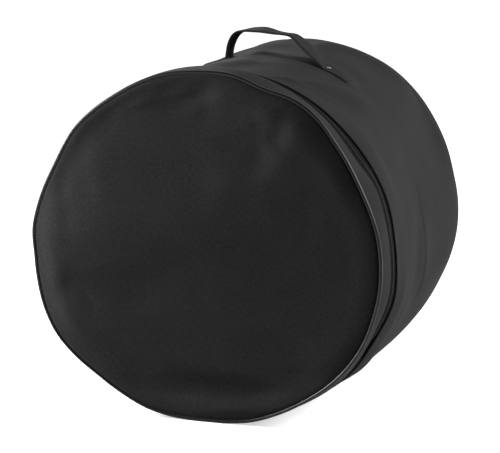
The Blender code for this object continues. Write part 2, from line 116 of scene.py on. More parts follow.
# %% Camera
def placed(name, data):
    """An object of the scene, from its data."""
    made = bpy.data.objects.new(name, data)
    bpy.context.scene.collection.objects.link(made)
    return made


FOCUS = Vector((0.0802, -0.2545, 0.3334))
TURN, RISE, DISTANCE = math.radians(18.99), math.radians(10.89), 4.0
SENSOR_WIDTH = 36
FOCAL_LENGTH, PICTURE_WIDTH = 2480, 500  # both in pixels
ahead = Vector((-math.sin(TURN) * math.cos(RISE), math.cos(TURN) * math.cos(RISE), -math.sin(RISE)))
camera = placed("camera", bpy.data.cameras.new("camera"))
camera.data.sensor_width = SENSOR_WIDTH
camera.data.lens = SENSOR_WIDTH * FOCAL_LENGTH / PICTURE_WIDTH
camera.location = FOCUS - ahead * DISTANCE
camera.rotation_euler = ahead.to_track_quat("-Z", "Y").to_euler()
bpy.context.scene.camera = camera
bpy.context.scene.view_settings.view_transform = "Standard"
print("camera at", [round(v, 3) for v in camera.location], "lens", round(camera.data.lens, 1))

# %% Two small helpers for materials
def linear(code):
    """An sRGB colour such as #2c2c2d, as the linear colour that shaders use."""
    channels = [int(code[i:i + 2], 16) / 255 for i in (1, 3, 5)]
    return [c / 12.92 if c <= 0.04045 else ((c + 0.055) / 1.055) ** 2.4 for c in channels] + [1.0]


def add(tree, kind, inputs=None, **settings):
    """Adds a node with its settings. An input is a value, or another node's output to link to."""
    node = tree.nodes.new(kind)
    for name, value in settings.items():
        setattr(node, name, value)
    for key, value in (inputs or {}).items():
        if isinstance(value, bpy.types.NodeSocket):
            tree.links.new(value, node.inputs[key])
        else:
            node.inputs[key].default_value = value
    return node

# %% Lamps
def lamp(name, place, aim, size, power):
    """A square area lamp at a place, facing another place."""
    light = placed(name, bpy.data.lights.new(name, "AREA"))
    light.data.size = size
    light.data.energy = power
    light.location = place
    light.rotation_euler = (Vector(aim) - Vector(place)).to_track_quat("-Z", "Y").to_euler()


MIDDLE = (0, 0, AXIS_HEIGHT)
lamp("softbox_right", (2.1, 0.10, 1.35), MIDDLE, 0.8, 53)
lamp("softbox_left", (-1.30, -0.54, 0.76), MIDDLE, 0.45, 47)

# %% World and floor
def rays(tree):
    """The kinds of ray, and one for those that a surface mirrors or lets through."""
    path = add(tree, "ShaderNodeLightPath").outputs
    mirrored = add(tree, "ShaderNodeMath", {0: path["Is Glossy Ray"], 1: path["Is Transmission Ray"]},
                   operation="MAXIMUM")
    return path, mirrored.outputs[0]


world = bpy.data.worlds.new("white_studio")
bpy.context.scene.world = world
world.use_nodes = True
tree = world.node_tree
tree.nodes.clear()
path, mirrored = rays(tree)
# The studio is white behind the bag and dark behind the camera, for light and for reflections alike.
way = add(tree, "ShaderNodeTexCoord").outputs["Generated"]
way = add(tree, "ShaderNodeSeparateXYZ", {0: way}).outputs["Y"]
light = add(tree, "ShaderNodeMapRange", {"Value": way, "From Min": -0.7, "From Max": 0.5, "To Min": 0.04,
                                         "To Max": 0.13}, interpolation_type="SMOOTHSTEP")
white = add(tree, "ShaderNodeMapRange", {"Value": way, "From Min": -0.1, "From Max": 0.6, "To Min": 0.02,
                                         "To Max": 1.0}, interpolation_type="SMOOTHSTEP")
strength = add(tree, "ShaderNodeMix", {0: mirrored, 2: light.outputs[0], 3: white.outputs[0]})
strength = add(tree, "ShaderNodeMix", {0: path["Is Camera Ray"], 2: strength.outputs[0], 3: 1.0})
sky = add(tree, "ShaderNodeBackground", {"Color": linear("#ffffff"), "Strength": strength.outputs[0]})
add(tree, "ShaderNodeOutputWorld", {"Surface": sky.outputs[0]})

floor_paint = bpy.data.materials.new("painted_white_sweep_rolled")
floor_paint.use_nodes = True
tree = floor_paint.node_tree
tree.nodes.clear()
path, mirrored = rays(tree)
place = add(tree, "ShaderNodeTexCoord").outputs["Object"]
along = add(tree, "ShaderNodeSeparateXYZ", {0: place}).outputs["Y"]
away = add(tree, "ShaderNodeVectorMath", {0: place}, operation="LENGTH").outputs["Value"]
matt = add(tree, "ShaderNodeBsdfDiffuse", {"Color": linear("#f4f4f4"), "Roughness": 0.5})
# A floor as white as the camera sees it would throw so much light back on the front that its folds would go
# flat. For the bag it is dark grey on the camera's side and lighter at the back.
shade = add(tree, "ShaderNodeMapRange", {"Value": along, "From Min": -0.7, "From Max": 0.3, "To Min": 0.22,
                                         "To Max": 0.50}, interpolation_type="SMOOTHSTEP")
dim = add(tree, "ShaderNodeBsdfDiffuse", {"Color": shade.outputs[0], "Roughness": 0.5})
# Round the bag the camera sees the floor's own light on top of a glow, so the shadow stays as a soft grey.
# Away from it there is only white.
fade = add(tree, "ShaderNodeMapRange", {"Value": away, "From Min": 0.55, "From Max": 1.3, "To Min": 0.60,
                                        "To Max": 1.0}, interpolation_type="SMOOTHSTEP")
# Glossy pieces mirror the floor too. There it is dark on the camera's side, as the studio is.
front_dark = add(tree, "ShaderNodeMapRange", {"Value": along, "From Min": -0.5, "From Max": 0.9,
                                              "To Min": 0.03, "To Max": 1.0}, interpolation_type="SMOOTHSTEP")
front_dark = add(tree, "ShaderNodeMix", {0: path["Is Glossy Ray"], 2: 1.0, 3: front_dark.outputs[0]})
fade = add(tree, "ShaderNodeMath", {0: fade.outputs[0], 1: front_dark.outputs[0]}, operation="MULTIPLY")
glow = add(tree, "ShaderNodeEmission", {"Color": linear("#ffffff"), "Strength": fade.outputs[0]})
both = add(tree, "ShaderNodeAddShader", {0: matt.outputs[0], 1: glow.outputs[0]})
seen = add(tree, "ShaderNodeMath", {0: path["Is Camera Ray"], 1: mirrored}, operation="MAXIMUM")
pick = add(tree, "ShaderNodeMixShader", {0: seen.outputs[0], 1: dim.outputs[0], 2: both.outputs[0]})
add(tree, "ShaderNodeOutputMaterial", {"Surface": pick.outputs[0]})

sweep_mesh = bmesh.new()
bmesh.ops.create_grid(sweep_mesh, x_segments=1, y_segments=1, size=14)
floor_data = bpy.data.meshes.new("floor")
sweep_mesh.to_mesh(floor_data)
sweep_mesh.free()
floor_data.materials.append(floor_paint)
floor = placed("floor", floor_data)

# %% [markdown]
# ## Woven polyester, the bag's outer cloth
#
# Such bags are sewn from 600-denier polyester: thick dull yarns in a plain weave, with a rubbery backing.
# The eye gets a dark grey that isn't quite even, a fine grain, and a soft bloom of light where the cloth
# turns away. A pattern of yarns could be real geometry, but the yarns are half a millimetre wide, so a bump
# and a change of tone do it. The pattern reads a UV map in metres, so it runs round the tube with the cloth.
# Real yarns lie 0.5 mm apart; they are drawn 1.5 mm apart, because finer ones would not show at all.

# %% Woven materials
def new_material(name):
    """An empty Principled material: the material, its tree, its shader."""
    material = bpy.data.materials.new(name)
    material.use_nodes = True
    return material, material.node_tree, material.node_tree.nodes["Principled BSDF"]


def coat(tree, shader, tone, dark, light, height, relief, strength, values):
    """Gives a shader a colour between two by a tone, a bump from a height, and its plain values."""
    colour = add(tree, "ShaderNodeMix", {0: tone, 6: linear(dark), 7: linear(light)}, data_type="RGBA")
    bump = add(tree, "ShaderNodeBump", {"Height": height, "Distance": relief, "Strength": strength})
    tree.links.new(colour.outputs[2], shader.inputs["Base Color"])
    tree.links.new(bump.outputs[0], shader.inputs["Normal"])
    for socket, value in values.items():
        shader.inputs[socket].default_value = value


# How wide the blotches are in metres, and how much they and the thick spots in the yarns change the tone.
BLOTCH, BLOTCH_TONE, SLUB_TONE = 0.09, 0.55, 1.1


def woven(name, dark, light, pitch, relief, roughness, sheen):
    """A plain weave: warp and weft yarns in turn on top, in a tone that wanders over a hand's breadth."""
    material, tree, shader = new_material(name)
    cloth = add(tree, "ShaderNodeUVMap", uv_map="cloth").outputs[0]
    bands = math.pi / 10 / pitch
    warp, weft = (add(tree, "ShaderNodeTexWave", {"Vector": cloth, "Scale": bands},
                      bands_direction=direction).outputs["Fac"] for direction in "XY")
    turns = add(tree, "ShaderNodeTexChecker", {"Vector": cloth, "Scale": 1 / pitch, "Color1": (0, 0, 0, 1),
                                               "Color2": (1, 1, 1, 1)})
    yarns = add(tree, "ShaderNodeMix", {0: turns.outputs["Fac"], 2: warp, 3: weft}).outputs[0]
    fuzz = add(tree, "ShaderNodeTexNoise", {"Vector": cloth, "Scale": 0.35 / pitch, "Detail": 3})
    tone = add(tree, "ShaderNodeMath", {0: yarns, 1: fuzz.outputs["Fac"]}, operation="MULTIPLY")
    wander = add(tree, "ShaderNodeTexNoise", {"Vector": cloth, "Scale": 1 / BLOTCH, "Detail": 2})
    tone = add(tree, "ShaderNodeMath", {0: wander.outputs["Fac"], 1: BLOTCH_TONE, 2: tone.outputs[0]},
               operation="MULTIPLY_ADD")
    # Yarns are thicker in places, which shows as short lighter and darker dashes both ways.
    for stretch in ((1.0, 0.35, 1.0), (0.35, 1.0, 1.0)):
        drawn = add(tree, "ShaderNodeVectorMath", {0: cloth, 1: stretch}, operation="MULTIPLY")
        slubs = add(tree, "ShaderNodeTexNoise", {"Vector": drawn.outputs[0], "Scale": 0.6 / pitch,
                                                 "Detail": 2})
        slubs = add(tree, "ShaderNodeMath", {0: slubs.outputs["Fac"], 1: 0.5}, operation="SUBTRACT")
        tone = add(tree, "ShaderNodeMath", {0: slubs.outputs[0], 1: SLUB_TONE, 2: tone.outputs[0]},
                   operation="MULTIPLY_ADD")
    coat(tree, shader, tone.outputs[0], dark, light, yarns, relief, 0.5,
         {"Roughness": roughness, "Specular IOR Level": 0.06, "Sheen Weight": sheen, "Sheen Roughness": 0.45})
    return material


outer_cloth = woven("polyester_600_denier_plain_woven", "#242424", "#353536", 0.0015, 0.0003, 0.8, 0.05)
lining_cloth = woven("polyester_taffeta_plain_woven", "#2e2e31", "#3a3a3e", 0.0009, 0.0001, 0.7, 0.1)
binding_cloth = woven("polypropylene_binding_tape_woven", "#1c1c1d", "#2a2a2b", 0.0016, 0.0003, 0.8, 0.1)
tape_cloth = woven("polyester_zipper_tape_woven", "#0e0e0f", "#19191a", 0.0012, 0.0003, 0.8, 0.02)
webbing = woven("polyester_strap_cloth_woven", "#212122", "#363638", 0.0022, 0.0005, 0.8, 0.05)

# %% [markdown]
# ## Vinyl, nylon, paint, rubber and thread
#
# The small parts catch the light that the cloth swallows. Piping is a strip of soft vinyl sewn round a
# cord: smooth, wrinkled along its bends, with a bright line of light on it. The zipper's coil is nylon, its
# sliders are cast zinc in black paint, the pulls' grips are moulded rubber, and the seams are sewn with
# black polyester thread.

# %% Smooth and moulded materials
def moulded(name, dark, light, grain, relief, roughness, metallic=0.0, specular=0.5):
    """A plain surface with a grain of its own: tone and height wander together over the grain's size."""
    material, tree, shader = new_material(name)
    place = add(tree, "ShaderNodeTexCoord").outputs["Object"]
    grains = add(tree, "ShaderNodeTexNoise", {"Vector": place, "Scale": 1 / grain, "Detail": 4})
    grains = grains.outputs["Fac"]
    coat(tree, shader, grains, dark, light, grains, relief, 0.6,
         {"Roughness": roughness, "Metallic": metallic, "Specular IOR Level": specular})
    return material


piping_vinyl = moulded("vinyl_piping_extruded", "#050506", "#0a0a0b", 0.004, 0.0003, 0.42, specular=0.4)
coil_nylon = moulded("nylon_zipper_coil_wound", "#101011", "#19191a", 0.002, 0.00005, 0.45)
slider_paint = moulded("zinc_slider_cast_and_painted", "#202022", "#2c2c2e", 0.003, 0.00005, 0.4, 0.7)
grip_rubber = moulded("rubber_pull_grip_moulded", "#161617", "#202021", 0.001, 0.0001, 0.65)
thread_black = moulded("polyester_thread_twisted", "#1a1a1b", "#303032", 0.0006, 0.0001, 0.6)
thread_light = moulded("polyester_bar_tack_thread_twisted", "#b8b8ba", "#e2e2e4", 0.0006, 0.0001, 0.5)

# %% [markdown]
# ## The skin of the tube
#
# A filled bag is never a true tube. Its seams hold rings that are a little off round, and the cloth between
# them sags at the top, bulges low down and creases where it is pulled. Each seam's ring is given by a few
# radii round the clock: points were read off the photograph along the seams, and a separate program turned
# them into angles and radii. The skin between two rings goes straight from one to the other, and then gets
# its sag and its folds. One function answers for every layer, so the layers never cross.

# %% Rings that are a little off round
def ring(places, blur=3.5):
    """A smooth closed profile in metres, from {degrees clockwise from the top: mm beyond the true tube}."""
    fine = np.arange(0, 360, 0.5)
    angles = sorted(places)
    rough = np.interp(fine, angles, [places[a] for a in angles], period=360)
    away = np.minimum(fine, 360 - fine)
    weight = np.exp(-(away / blur) ** 2 / 2)
    smooth = np.real(np.fft.ifft(np.fft.fft(rough) * np.fft.fft(weight / weight.sum())))
    return lambda angle: np.interp(angle, fine, smooth, period=360) * MM


rim = ring({-176: -14, -168: -11, -159: -9, -149: -10, -139: -8, -130: 0, -121: 7, -112: 7, -104: 4, -94: 1,
            -87: 5, -77: -1, -64: -7, -56: -5, -50: -2, -42: -4, -32: -6, -20: -4, -14: -3, -1: -5, 9: -3,
            21: -11, 28: -3, 34: 0, 41: -1, 49: -7, 59: -9, 67: -9, 75: -5, 83: -1, 90: 1, 100: 4, 108: 4,
            115: 6, 122: 5, 129: 3, 138: -1, 146: -5, 155: -7, 164: -8, 172: -12}, 2.5)
lid_edge = ring({-170: -12, -150: -9, -130: 2, -110: 5, -90: 2, -70: -3, -50: -4, -30: -5, -10: -2, 4: -1,
                 16: -3, 28: -6, 40: -8, 50: -10, 54: -12, 58: -12, 62: -6, 66: -1, 71: 1, 76: -1, 84: 1,
                 92: 3, 97: 6, 103: 9, 107: 6, 111: 3, 122: 4, 132: 6, 142: 2, 155: -6, 170: -12})
body_edge = ring({-170: -12, -150: -9, -130: 3, -110: 5, -90: 3, -70: -2, -50: -6, -30: -9, -10: -11, 4: -11,
                  16: -11, 28: -10, 36: -9, 51: -8, 58: -5, 64: -3, 68: -1, 75: 1, 78: 2, 85: 1, 88: 3,
                  95: 6, 101: 10, 105: 12, 110: 8, 114: 6, 122: 4, 130: 7, 140: 3, 155: -6, 170: -12})
back_edge = ring({-170: -12, -150: -6, -130: 0, -110: 0, -90: -2, -70: -3, -50: -5, -30: -11, -23: -14, 3: -5,
                  14: -4, 24: -2, 32: 0, 39: 1, 48: 2, 62: 0, 69: -1, 76: -5, 88: -3, 100: -2, 112: -5,
                  120: -4, 132: -1, 138: 2, 144: 6, 156: -4, 170: -12})
SEAMS = ((PIPING_MIDDLE, rim), (LID_EDGE, lid_edge), (BODY_EDGE, body_edge), (BACK, back_edge))

# %% Folds, as soft ridges
def ridges(folds, across, along):
    """Heights of soft ridges on a flat cloth. A fold is its middle (mm, mm), its heading in degrees from the
    first direction, its length, width and height in mm, and how much it bends along its length."""
    total = 0
    for u, v, heading, length, width, height, bend in folds:
        c, s = math.cos(math.radians(heading)), math.sin(math.radians(heading))
        du, dv = across - u * MM, along - v * MM
        run, side = du * c + dv * s, dv * c - du * s
        side = side - bend * MM * (2 * run / (length * MM)) ** 2
        total = total + height * MM * np.exp(-(side / (width * MM)) ** 2 - (2 * run / (length * MM)) ** 4)
    return total


# (round the tube, along the tube) in mm
BODY_FOLDS = (
    # worked out by a separate program, which fitted their shading to the photograph
    (122, 27, -18, 121, 21, 5.8, -5), (89, -24, -1, 379, 53, 3.3, -16), (8, -15, -19, 27, 22, -1.6, 4),
    (184, -66, 45, 184, 25, 3.9, -4), (186, -107, 41, 115, 29, -2.9, 18), (76, 203, 54, 135, 30, 4.4, -39),
    (190, 78, -40, 207, 24, 0.7, -5), (232, 161, -71, 293, 46, 7.9, -40), (349, 123, -77, 420, 71, -8.4, 0),
    (473, 7, -15, 193, 9, 0.1, 3), (485, 26, -17, 135, 28, 3.7, 20), (431, 94, 6, 146, 11, -0.1, -5),
    (483, 8, -38, 166, 47, -5.9, 2), (616, -70, 37, 96, 33, 6.7, -7), (313, -175, -12, 161, 52, 9.9, 1),
    (470, 238, -52, 283, 77, 7.6, 39), (598, 100, 23, 121, 66, 6.7, -20), (-15, 167, 83, 133, 40, 2.9, 4),
    (1, 10, -89, 104, 24, 5.7, -6), (611, -154, 1, 196, 43, 8.8, 17), (-24, 133, 81, 164, 26, 2.3, 2),
    (40, 191, -82, 134, 33, 1.0, 3), (-21, 147, 19, 150, 39, 1.5, 9), (-18, 119, 33, 92, 28, 2.5, -8),
    (-25, 173, -17, 97, 42, 2.3, 29), (-4, -111, 64, 107, 27, 6.6, 11),
    # placed one by one: the left side, which the photograph doesn't show, and small creases
    (-160, -60, 70, 240, 20, -4.0, 10), (-250, 40, 65, 220, 16, 3.5, 8), (-330, -70, 30, 170, 14, -3.0, 8),
    (-400, 90, 10, 190, 12, 3.0, 6), (-480, -20, 5, 170, 9, -3.0, 6), (-560, 60, 15, 150, 12, 3.5, 6),
    (-640, -60, 30, 120, 12, 3.0, 4), (-100, 130, 80, 200, 20, 3.0, 0), (116, -132, 46, 118, 5, 1.5, 3),
    (150, -128, 22, 120, 5, 1.2, 4), (128, -12, 5, 150, 5, 1.4, 4), (95, -35, -8, 70, 5, -1.2, 0),
    (270, 236, 0, 170, 5, 2.6, 0), (285, 226, 2, 120, 5, -1.2, 0), (478, 22, -7, 180, 5, -1.2, 5),
    (478, 31, -7, 170, 5, 0.8, 5),
)
SAG = ring({-180: 0, -120: 3, -70: -1, -35: -5, -12: -5, 4: -3, 20: 4, 30: 5, 45: 1, 60: -2, 90: -1,
            120: 4, 150: 3}, 6)


def soft_step(share):
    """A share from 0 to 1 that starts and ends softly."""
    share = np.clip(share, 0, 1)
    return share * share * (3 - 2 * share)


# The height of the skin at which a slider's round path lies on the coil.
SLIDER_LEVEL = -4.4 * MM
# degrees from the top between which the strip dips to that level, and over which it gets there
DIP_START, DIP_RUN_IN, DIP_END, DIP_RUN_OUT = 115.5, 5.5, 139.5, 6.5
FOLDS_FADE = 0.045
BAND_FULLNESS = 1.2 * MM
rumples = {}


def track_dip(angle):
    """The sliders travel on a round path. At both ends of their travel the strip dips to meet them."""
    turn = np.abs((angle + 180) % 360 - 180)
    at_end = soft_step((turn - DIP_START) / DIP_RUN_IN) * soft_step((DIP_END - turn) / DIP_RUN_OUT)
    return at_end * (SLIDER_LEVEL - (lid_edge(angle) + body_edge(angle)) / 2)


def skin(angle, y, lift=0.0):
    """The radius of the outer cloth at an angle and a place along the tube. The floor presses it flat, and a
    lift leaves room under it for a layer that lies on the outside."""
    angle, y = np.broadcast_arrays(np.asarray(angle, float), np.asarray(y, float))
    places = np.array([place for place, profile in SEAMS])
    rings = np.stack([profile(angle) for place, profile in SEAMS])
    zone = np.clip(np.searchsorted(places, y) - 1, 0, len(places) - 2)
    share = np.clip((y - places[zone]) / (places[zone + 1] - places[zone]), 0, 1)
    near = np.take_along_axis(rings, zone[None], 0)[0]
    far = np.take_along_axis(rings, zone[None] + 1, 0)[0]
    radius = RADIUS + near + (far - near) * share
    hump = 4 * share * (1 - share)
    turn = (angle + 180) % 360 - 180
    arc = np.radians(turn) * RADIUS
    from_seams = np.clip(np.minimum(y - BODY_EDGE, BACK - y) / FOLDS_FADE, 0, 1)
    band, strip, body = (zone == k for k in range(3))
    radius = radius + np.where(body, SAG(angle) * hump ** 0.7, 0)
    radius = radius + np.where(body, ridges(BODY_FOLDS, arc, y) * from_seams ** 0.7, 0)
    if "body" in rumples:
        column, row = (turn + 180) / 360, (y - BODY_EDGE) / (BACK - BODY_EDGE)
        settled = looked_up(rumples["body"], column, row) * np.minimum(from_seams * 2, 1)
        radius = radius + np.where(body, settled, 0)
    radius = radius + np.where(band, BAND_FULLNESS * hump, 0)
    radius = radius + np.where(strip, track_dip(angle) * hump ** 0.4, 0)
    down = -np.cos(np.radians(angle))
    return np.where(down > 0.5, np.minimum(radius, (AXIS_HEIGHT - lift) / np.maximum(down, 0.5)), radius)


print("skin at the rim, mm:", np.round(skin(np.arange(0, 360, 45), PIPING_MIDDLE) * 1000, 1))

# %% [markdown]
# ## Letting the cloth rumple
#
# Drawn folds are too clean. A panel of a real bag is cut a little larger than the gap that it is sewn into,
# so between its seams it also rumples in small waves of its own. Blender's cloth does that: a coarse sheet
# of the same shape is sewn down at its edges, held lightly in the middle as padding holds cloth, made a
# little too large, and left to settle. What comes out is only a height map, and the skin adds it.

# %% Cloth that settles
def looked_up(grid, column, row):
    """A height map read at shares (0 to 1) of its columns and rows, evenly between its points."""
    i = np.clip(column, 0, 1) * (grid.shape[0] - 1)
    j = np.clip(row, 0, 1) * (grid.shape[1] - 1)
    i0, j0 = np.minimum(i.astype(int), grid.shape[0] - 2), np.minimum(j.astype(int), grid.shape[1] - 2)
    di, dj = i - i0, j - j0
    near = grid[i0, j0] * (1 - di) + grid[i0 + 1, j0] * di
    far = grid[i0, j0 + 1] * (1 - di) + grid[i0 + 1, j0 + 1] * di
    return near * (1 - dj) + far * dj


def let_settle(name, points, faces, held, excess, frames=22):
    """How far each point of a sheet moves when the sheet is cut too large and left to settle."""
    data = bpy.data.meshes.new(name)
    data.from_pydata(points.tolist(), [], faces)
    sheet = placed(name, data)
    group = sheet.vertex_groups.new(name="held")
    for weight in np.unique(held):
        group.add(np.flatnonzero(held == weight).tolist(), float(weight), "REPLACE")
    cloth = sheet.modifiers.new("cloth", "CLOTH")
    rules = cloth.settings
    rules.quality = 6
    rules.mass = 0.15
    rules.tension_stiffness = rules.compression_stiffness = 15
    rules.shear_stiffness = 5
    rules.bending_stiffness = 0.5
    rules.vertex_group_mass = "held"
    rules.pin_stiffness = 1.0
    rules.shrink_min = -excess
    rules.effector_weights.gravity = 0
    cloth.collision_settings.use_collision = False
    cloth.point_cache.frame_start, cloth.point_cache.frame_end = 1, frames
    for frame in range(1, frames + 1):
        bpy.context.scene.frame_set(frame)
    settled = sheet.evaluated_get(bpy.context.evaluated_depsgraph_get())
    after = np.zeros(len(points) * 3)
    settled.data.vertices.foreach_get("co", after)
    bpy.data.objects.remove(sheet)
    bpy.data.meshes.remove(data)
    bpy.context.scene.frame_set(1)
    return after.reshape(-1, 3) - points


def grid_quads(columns, rows, round_columns=False, round_rows=False):
    """The quads of a grid whose points run row by row within each column. A grid may close on itself."""
    i, j = np.meshgrid(np.arange(columns - (not round_columns)), np.arange(rows - (not round_rows)),
                       indexing="ij")
    i2, j2 = (i + 1) % columns, (j + 1) % rows
    return np.stack([i * rows + j, i2 * rows + j, i2 * rows + j2, i * rows + j2], -1).reshape(-1, 4)


HOLD, BODY_EXCESS, FACE_EXCESS, RUMPLE_CAP = 0.05, 0.005, 0.004, 0.004
# The foam behind the cloth lets only a share of the waves through.
BODY_SHARE, FACE_SHARE = 0.25, 0.12
# A sheet needs a trace of unevenness to start from. Beyond so many degrees from the top, the bag lies on the
# floor and can't move.
UNEVEN, UNDERSIDE = 0.0004, 158


def rumple_body(columns=180, rows=42):
    """The height map of the body: columns round the tube, rows along it."""
    angle = np.linspace(-180, 180, columns + 1)[:-1]
    y = np.linspace(BODY_EDGE, BACK, rows)
    uneven = np.random.default_rng(7).normal(0, UNEVEN, (columns, rows))
    radius = skin(angle[:, None], y[None, :]) + uneven
    turn = np.radians(angle)[:, None]
    points = np.stack([radius * np.sin(turn), np.broadcast_to(y, radius.shape), radius * np.cos(turn)], -1)
    held = np.full((columns, rows), HOLD)
    held[:, [0, -1]] = 1.0
    held[np.abs(angle) > UNDERSIDE] = 1.0
    faces = grid_quads(columns, rows, round_columns=True).tolist()
    moved = let_settle("body_sheet", points.reshape(-1, 3), faces, held.ravel(), BODY_EXCESS)
    moved = moved.reshape(columns, rows, 3)
    height = moved[..., 0] * np.sin(turn) + moved[..., 2] * np.cos(turn)
    return np.clip(np.concatenate([height, height[:1]]), -RUMPLE_CAP, RUMPLE_CAP) * BODY_SHARE


def disc_grid(steps):
    """A square grid pressed into the unit circle: across and up, at the steps' corners."""
    line = np.linspace(-1, 1, steps + 1)
    a, b = np.meshgrid(line, line, indexing="ij")
    return a * np.sqrt(1 - b * b / 2), b * np.sqrt(1 - a * a / 2)


def square_of(u, v):
    """Where a point of the unit circle sits in that square grid, as shares of its columns and rows."""
    def side(p, q):
        far = np.sqrt(np.maximum(2 + p * p - q * q + math.sqrt(8) * p, 0))
        near = np.sqrt(np.maximum(2 + p * p - q * q - math.sqrt(8) * p, 0))
        return (far - near) / 4 + 0.5
    return side(u, v), side(v, u)


def rumple_disc(name, seed, radius=0.29, crown=0.004, steps=72):
    """The height map of a round end, over the square grid that its pad is made on."""
    u, v = disc_grid(steps)
    uneven = np.random.default_rng(seed).normal(0, UNEVEN, u.shape)
    points = np.stack([u * radius, -crown * (1 - u * u - v * v) + uneven, v * radius], -1).reshape(-1, 3)
    n = steps + 1
    held = np.full((n, n), HOLD)
    held[[0, -1], :] = held[:, [0, -1]] = 1.0
    moved = let_settle(name, points, grid_quads(n, n).tolist(), held.ravel(), FACE_EXCESS)
    return np.clip(-moved[:, 1].reshape(n, n), -RUMPLE_CAP, RUMPLE_CAP) * FACE_SHARE


rumples["body"] = rumple_body()
rumples["front"] = rumple_disc("front_sheet", 11)
rumples["back"] = rumple_disc("back_sheet", 12)
for name, heights in rumples.items():
    print(name, "rumples, mm:", np.round(np.percentile(heights, [0, 5, 50, 95, 100]) * 1000, 2))

# %% [markdown]
# ## One tool for everything that goes round the tube
#
# Cloth walls, tapes, piping and linings all follow the tube. Each has a section, drawn once as places along
# the tube and depths below the skin, and is swept round some of the clock. It comes out as one closed mesh
# of quads with a UV map in metres.

# %% Meshes from rows of points
SHARP = math.radians(50)


def solid(name, points, faces, uvs, material, caps=()):
    """An object from points and quads, each corner with its place on the cloth. Faces turned outwards."""
    data = bpy.data.meshes.new(name)
    data.from_pydata(points, [], list(faces) + [list(cap) for cap in caps])
    layer = data.uv_layers.new(name="cloth")
    flat = np.zeros((len(data.loops), 2))
    flat[:len(uvs)] = uvs
    layer.data.foreach_set("uv", flat.ravel())
    mesh = bmesh.new()
    mesh.from_mesh(data)
    bmesh.ops.recalc_face_normals(mesh, faces=mesh.faces)
    mesh.to_mesh(data)
    mesh.free()
    data.materials.append(material)
    data.shade_smooth()
    data.set_sharp_from_angle(angle=SHARP)
    return placed(name, data)


def skinned(name, rings, travelled, girth, material):
    """A mesh through rings of points, closed on itself or capped at both ends. The cloth's places are the way
    travelled to each ring and the way round the section to each corner, each with one more to close it."""
    count, corners = rings.shape[:2]
    closed = len(travelled) > count
    travelled, girth = np.asarray(travelled), np.asarray(girth)
    i, j = np.meshgrid(np.arange(len(travelled) - 1), np.arange(corners), indexing="ij")
    quad = ((i, j), (i + 1, j), (i + 1, j + 1), (i, j + 1))
    uvs = np.stack([np.stack([travelled[a], girth[b]], -1) for a, b in quad], 2).reshape(-1, 2)
    faces = grid_quads(count, corners, closed, True).tolist()
    caps = () if closed else (range(corners), range((count - 1) * corners, count * corners))
    return solid(name, rings.reshape(-1, 3).tolist(), faces, uvs, material, caps)


def around(radius, angle, y):
    """Points at a radius from the tube's axis, at an angle and a place along the tube."""
    turn = np.radians(angle)
    parts = np.broadcast_arrays(radius * np.sin(turn), y, AXIS_HEIGHT + radius * np.cos(turn))
    return np.stack(parts, -1)


def sweep(name, section, material, start=-180.0, end=180.0, step=1.0, lift=0.0, shift=None):
    """Sweeps a closed section of (place along the tube, depth below the skin) round the tube. A shift moves
    points along the tube, by an amount that it works out from their angle and place."""
    whole = end - start >= 360
    count = round((end - start) / step)
    angles = np.linspace(start, end, count + 1)
    y, depth = np.array(section).T
    place = y + (shift(angles[:, None], y[None, :]) if shift else 0 * angles[:, None])
    points = around(skin(angles[:, None], place, lift) - depth, angles[:, None], place)
    steps = np.hypot(np.diff(np.append(y, y[0])), np.diff(np.append(depth, depth[0])))
    girth = np.concatenate([[0], np.cumsum(steps)]) + y[0]
    return skinned(name, points[:count] if whole else points, np.radians(angles) * RADIUS, girth, material)


def straight(near, far, depth, count):
    """A straight stretch of a section."""
    return [(float(y), depth) for y in np.linspace(near, far, count)]


def rounded(y, depth, radius, degrees):
    """A round stretch of a section. 0 degrees lies outwards of its middle, and 90 towards the back."""
    turns = [math.radians(a) for a in degrees]
    return [(y + radius * math.sin(t), depth - radius * math.cos(t)) for t in turns]


def thin(near, far, top, thickness, count=2):
    """The section of a thin sheet."""
    return straight(near, far, top, count) + straight(far, near, top + thickness, count)


def wall(near, far, top, bottom, edge, rows):
    """A pad's section: from one edge to the other on the outside, and back on the inside."""
    return (straight(near + edge, far - edge, top, rows)
            + rounded(far - edge, top + edge, edge, (22, 45, 68, 90))
            + straight(far, near, bottom, max(3, rows // 4))
            + rounded(near + edge, top + edge, edge, (-90, -68, -45, -22)))

# %% [markdown]
# ## How a piece moves and what it stands for
#
# Each piece made here stands for some of the imported pieces, which are hidden. Most ride on the body of the
# bag. The pieces of the front and of its band cross the fold, and cloth can't turn about a line as a steel
# hinge does; they have their places baked into their meshes and ride on no body.


def stay(piece):
    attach(piece, "root")


def bend_with_lid(piece):
    """Bakes the place of a piece that crosses the fold into its mesh, and leaves it on no body."""
    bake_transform(piece)


def dress(piece, move, slot, *nodes, padded=False):
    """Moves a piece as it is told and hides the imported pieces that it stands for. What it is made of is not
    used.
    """
    move(piece)
    if nodes:
        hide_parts(*nodes)

# %% [markdown]
# ## The body of the bag
#
# The body is one long panel of cloth on foam, sewn into a tube. Its front edge is folded over the zipper's
# tape, and the fold throws the dark line that runs along the zipper. Its back edge is turned in and sewn to
# the round back. A cylinder with a thickness would look like a pipe, so the section is a pad with soft
# edges, swept round the skin with its sags and folds.

# %% Body wall
CLOTH, PAD = 0.0012, 0.0073
FLAP, HEM, BACK_HEM = 0.0085, 0.0016, 0.006
flap = rounded(BODY_EDGE + HEM, HEM - CLOTH, HEM, range(-180, 1, 30))
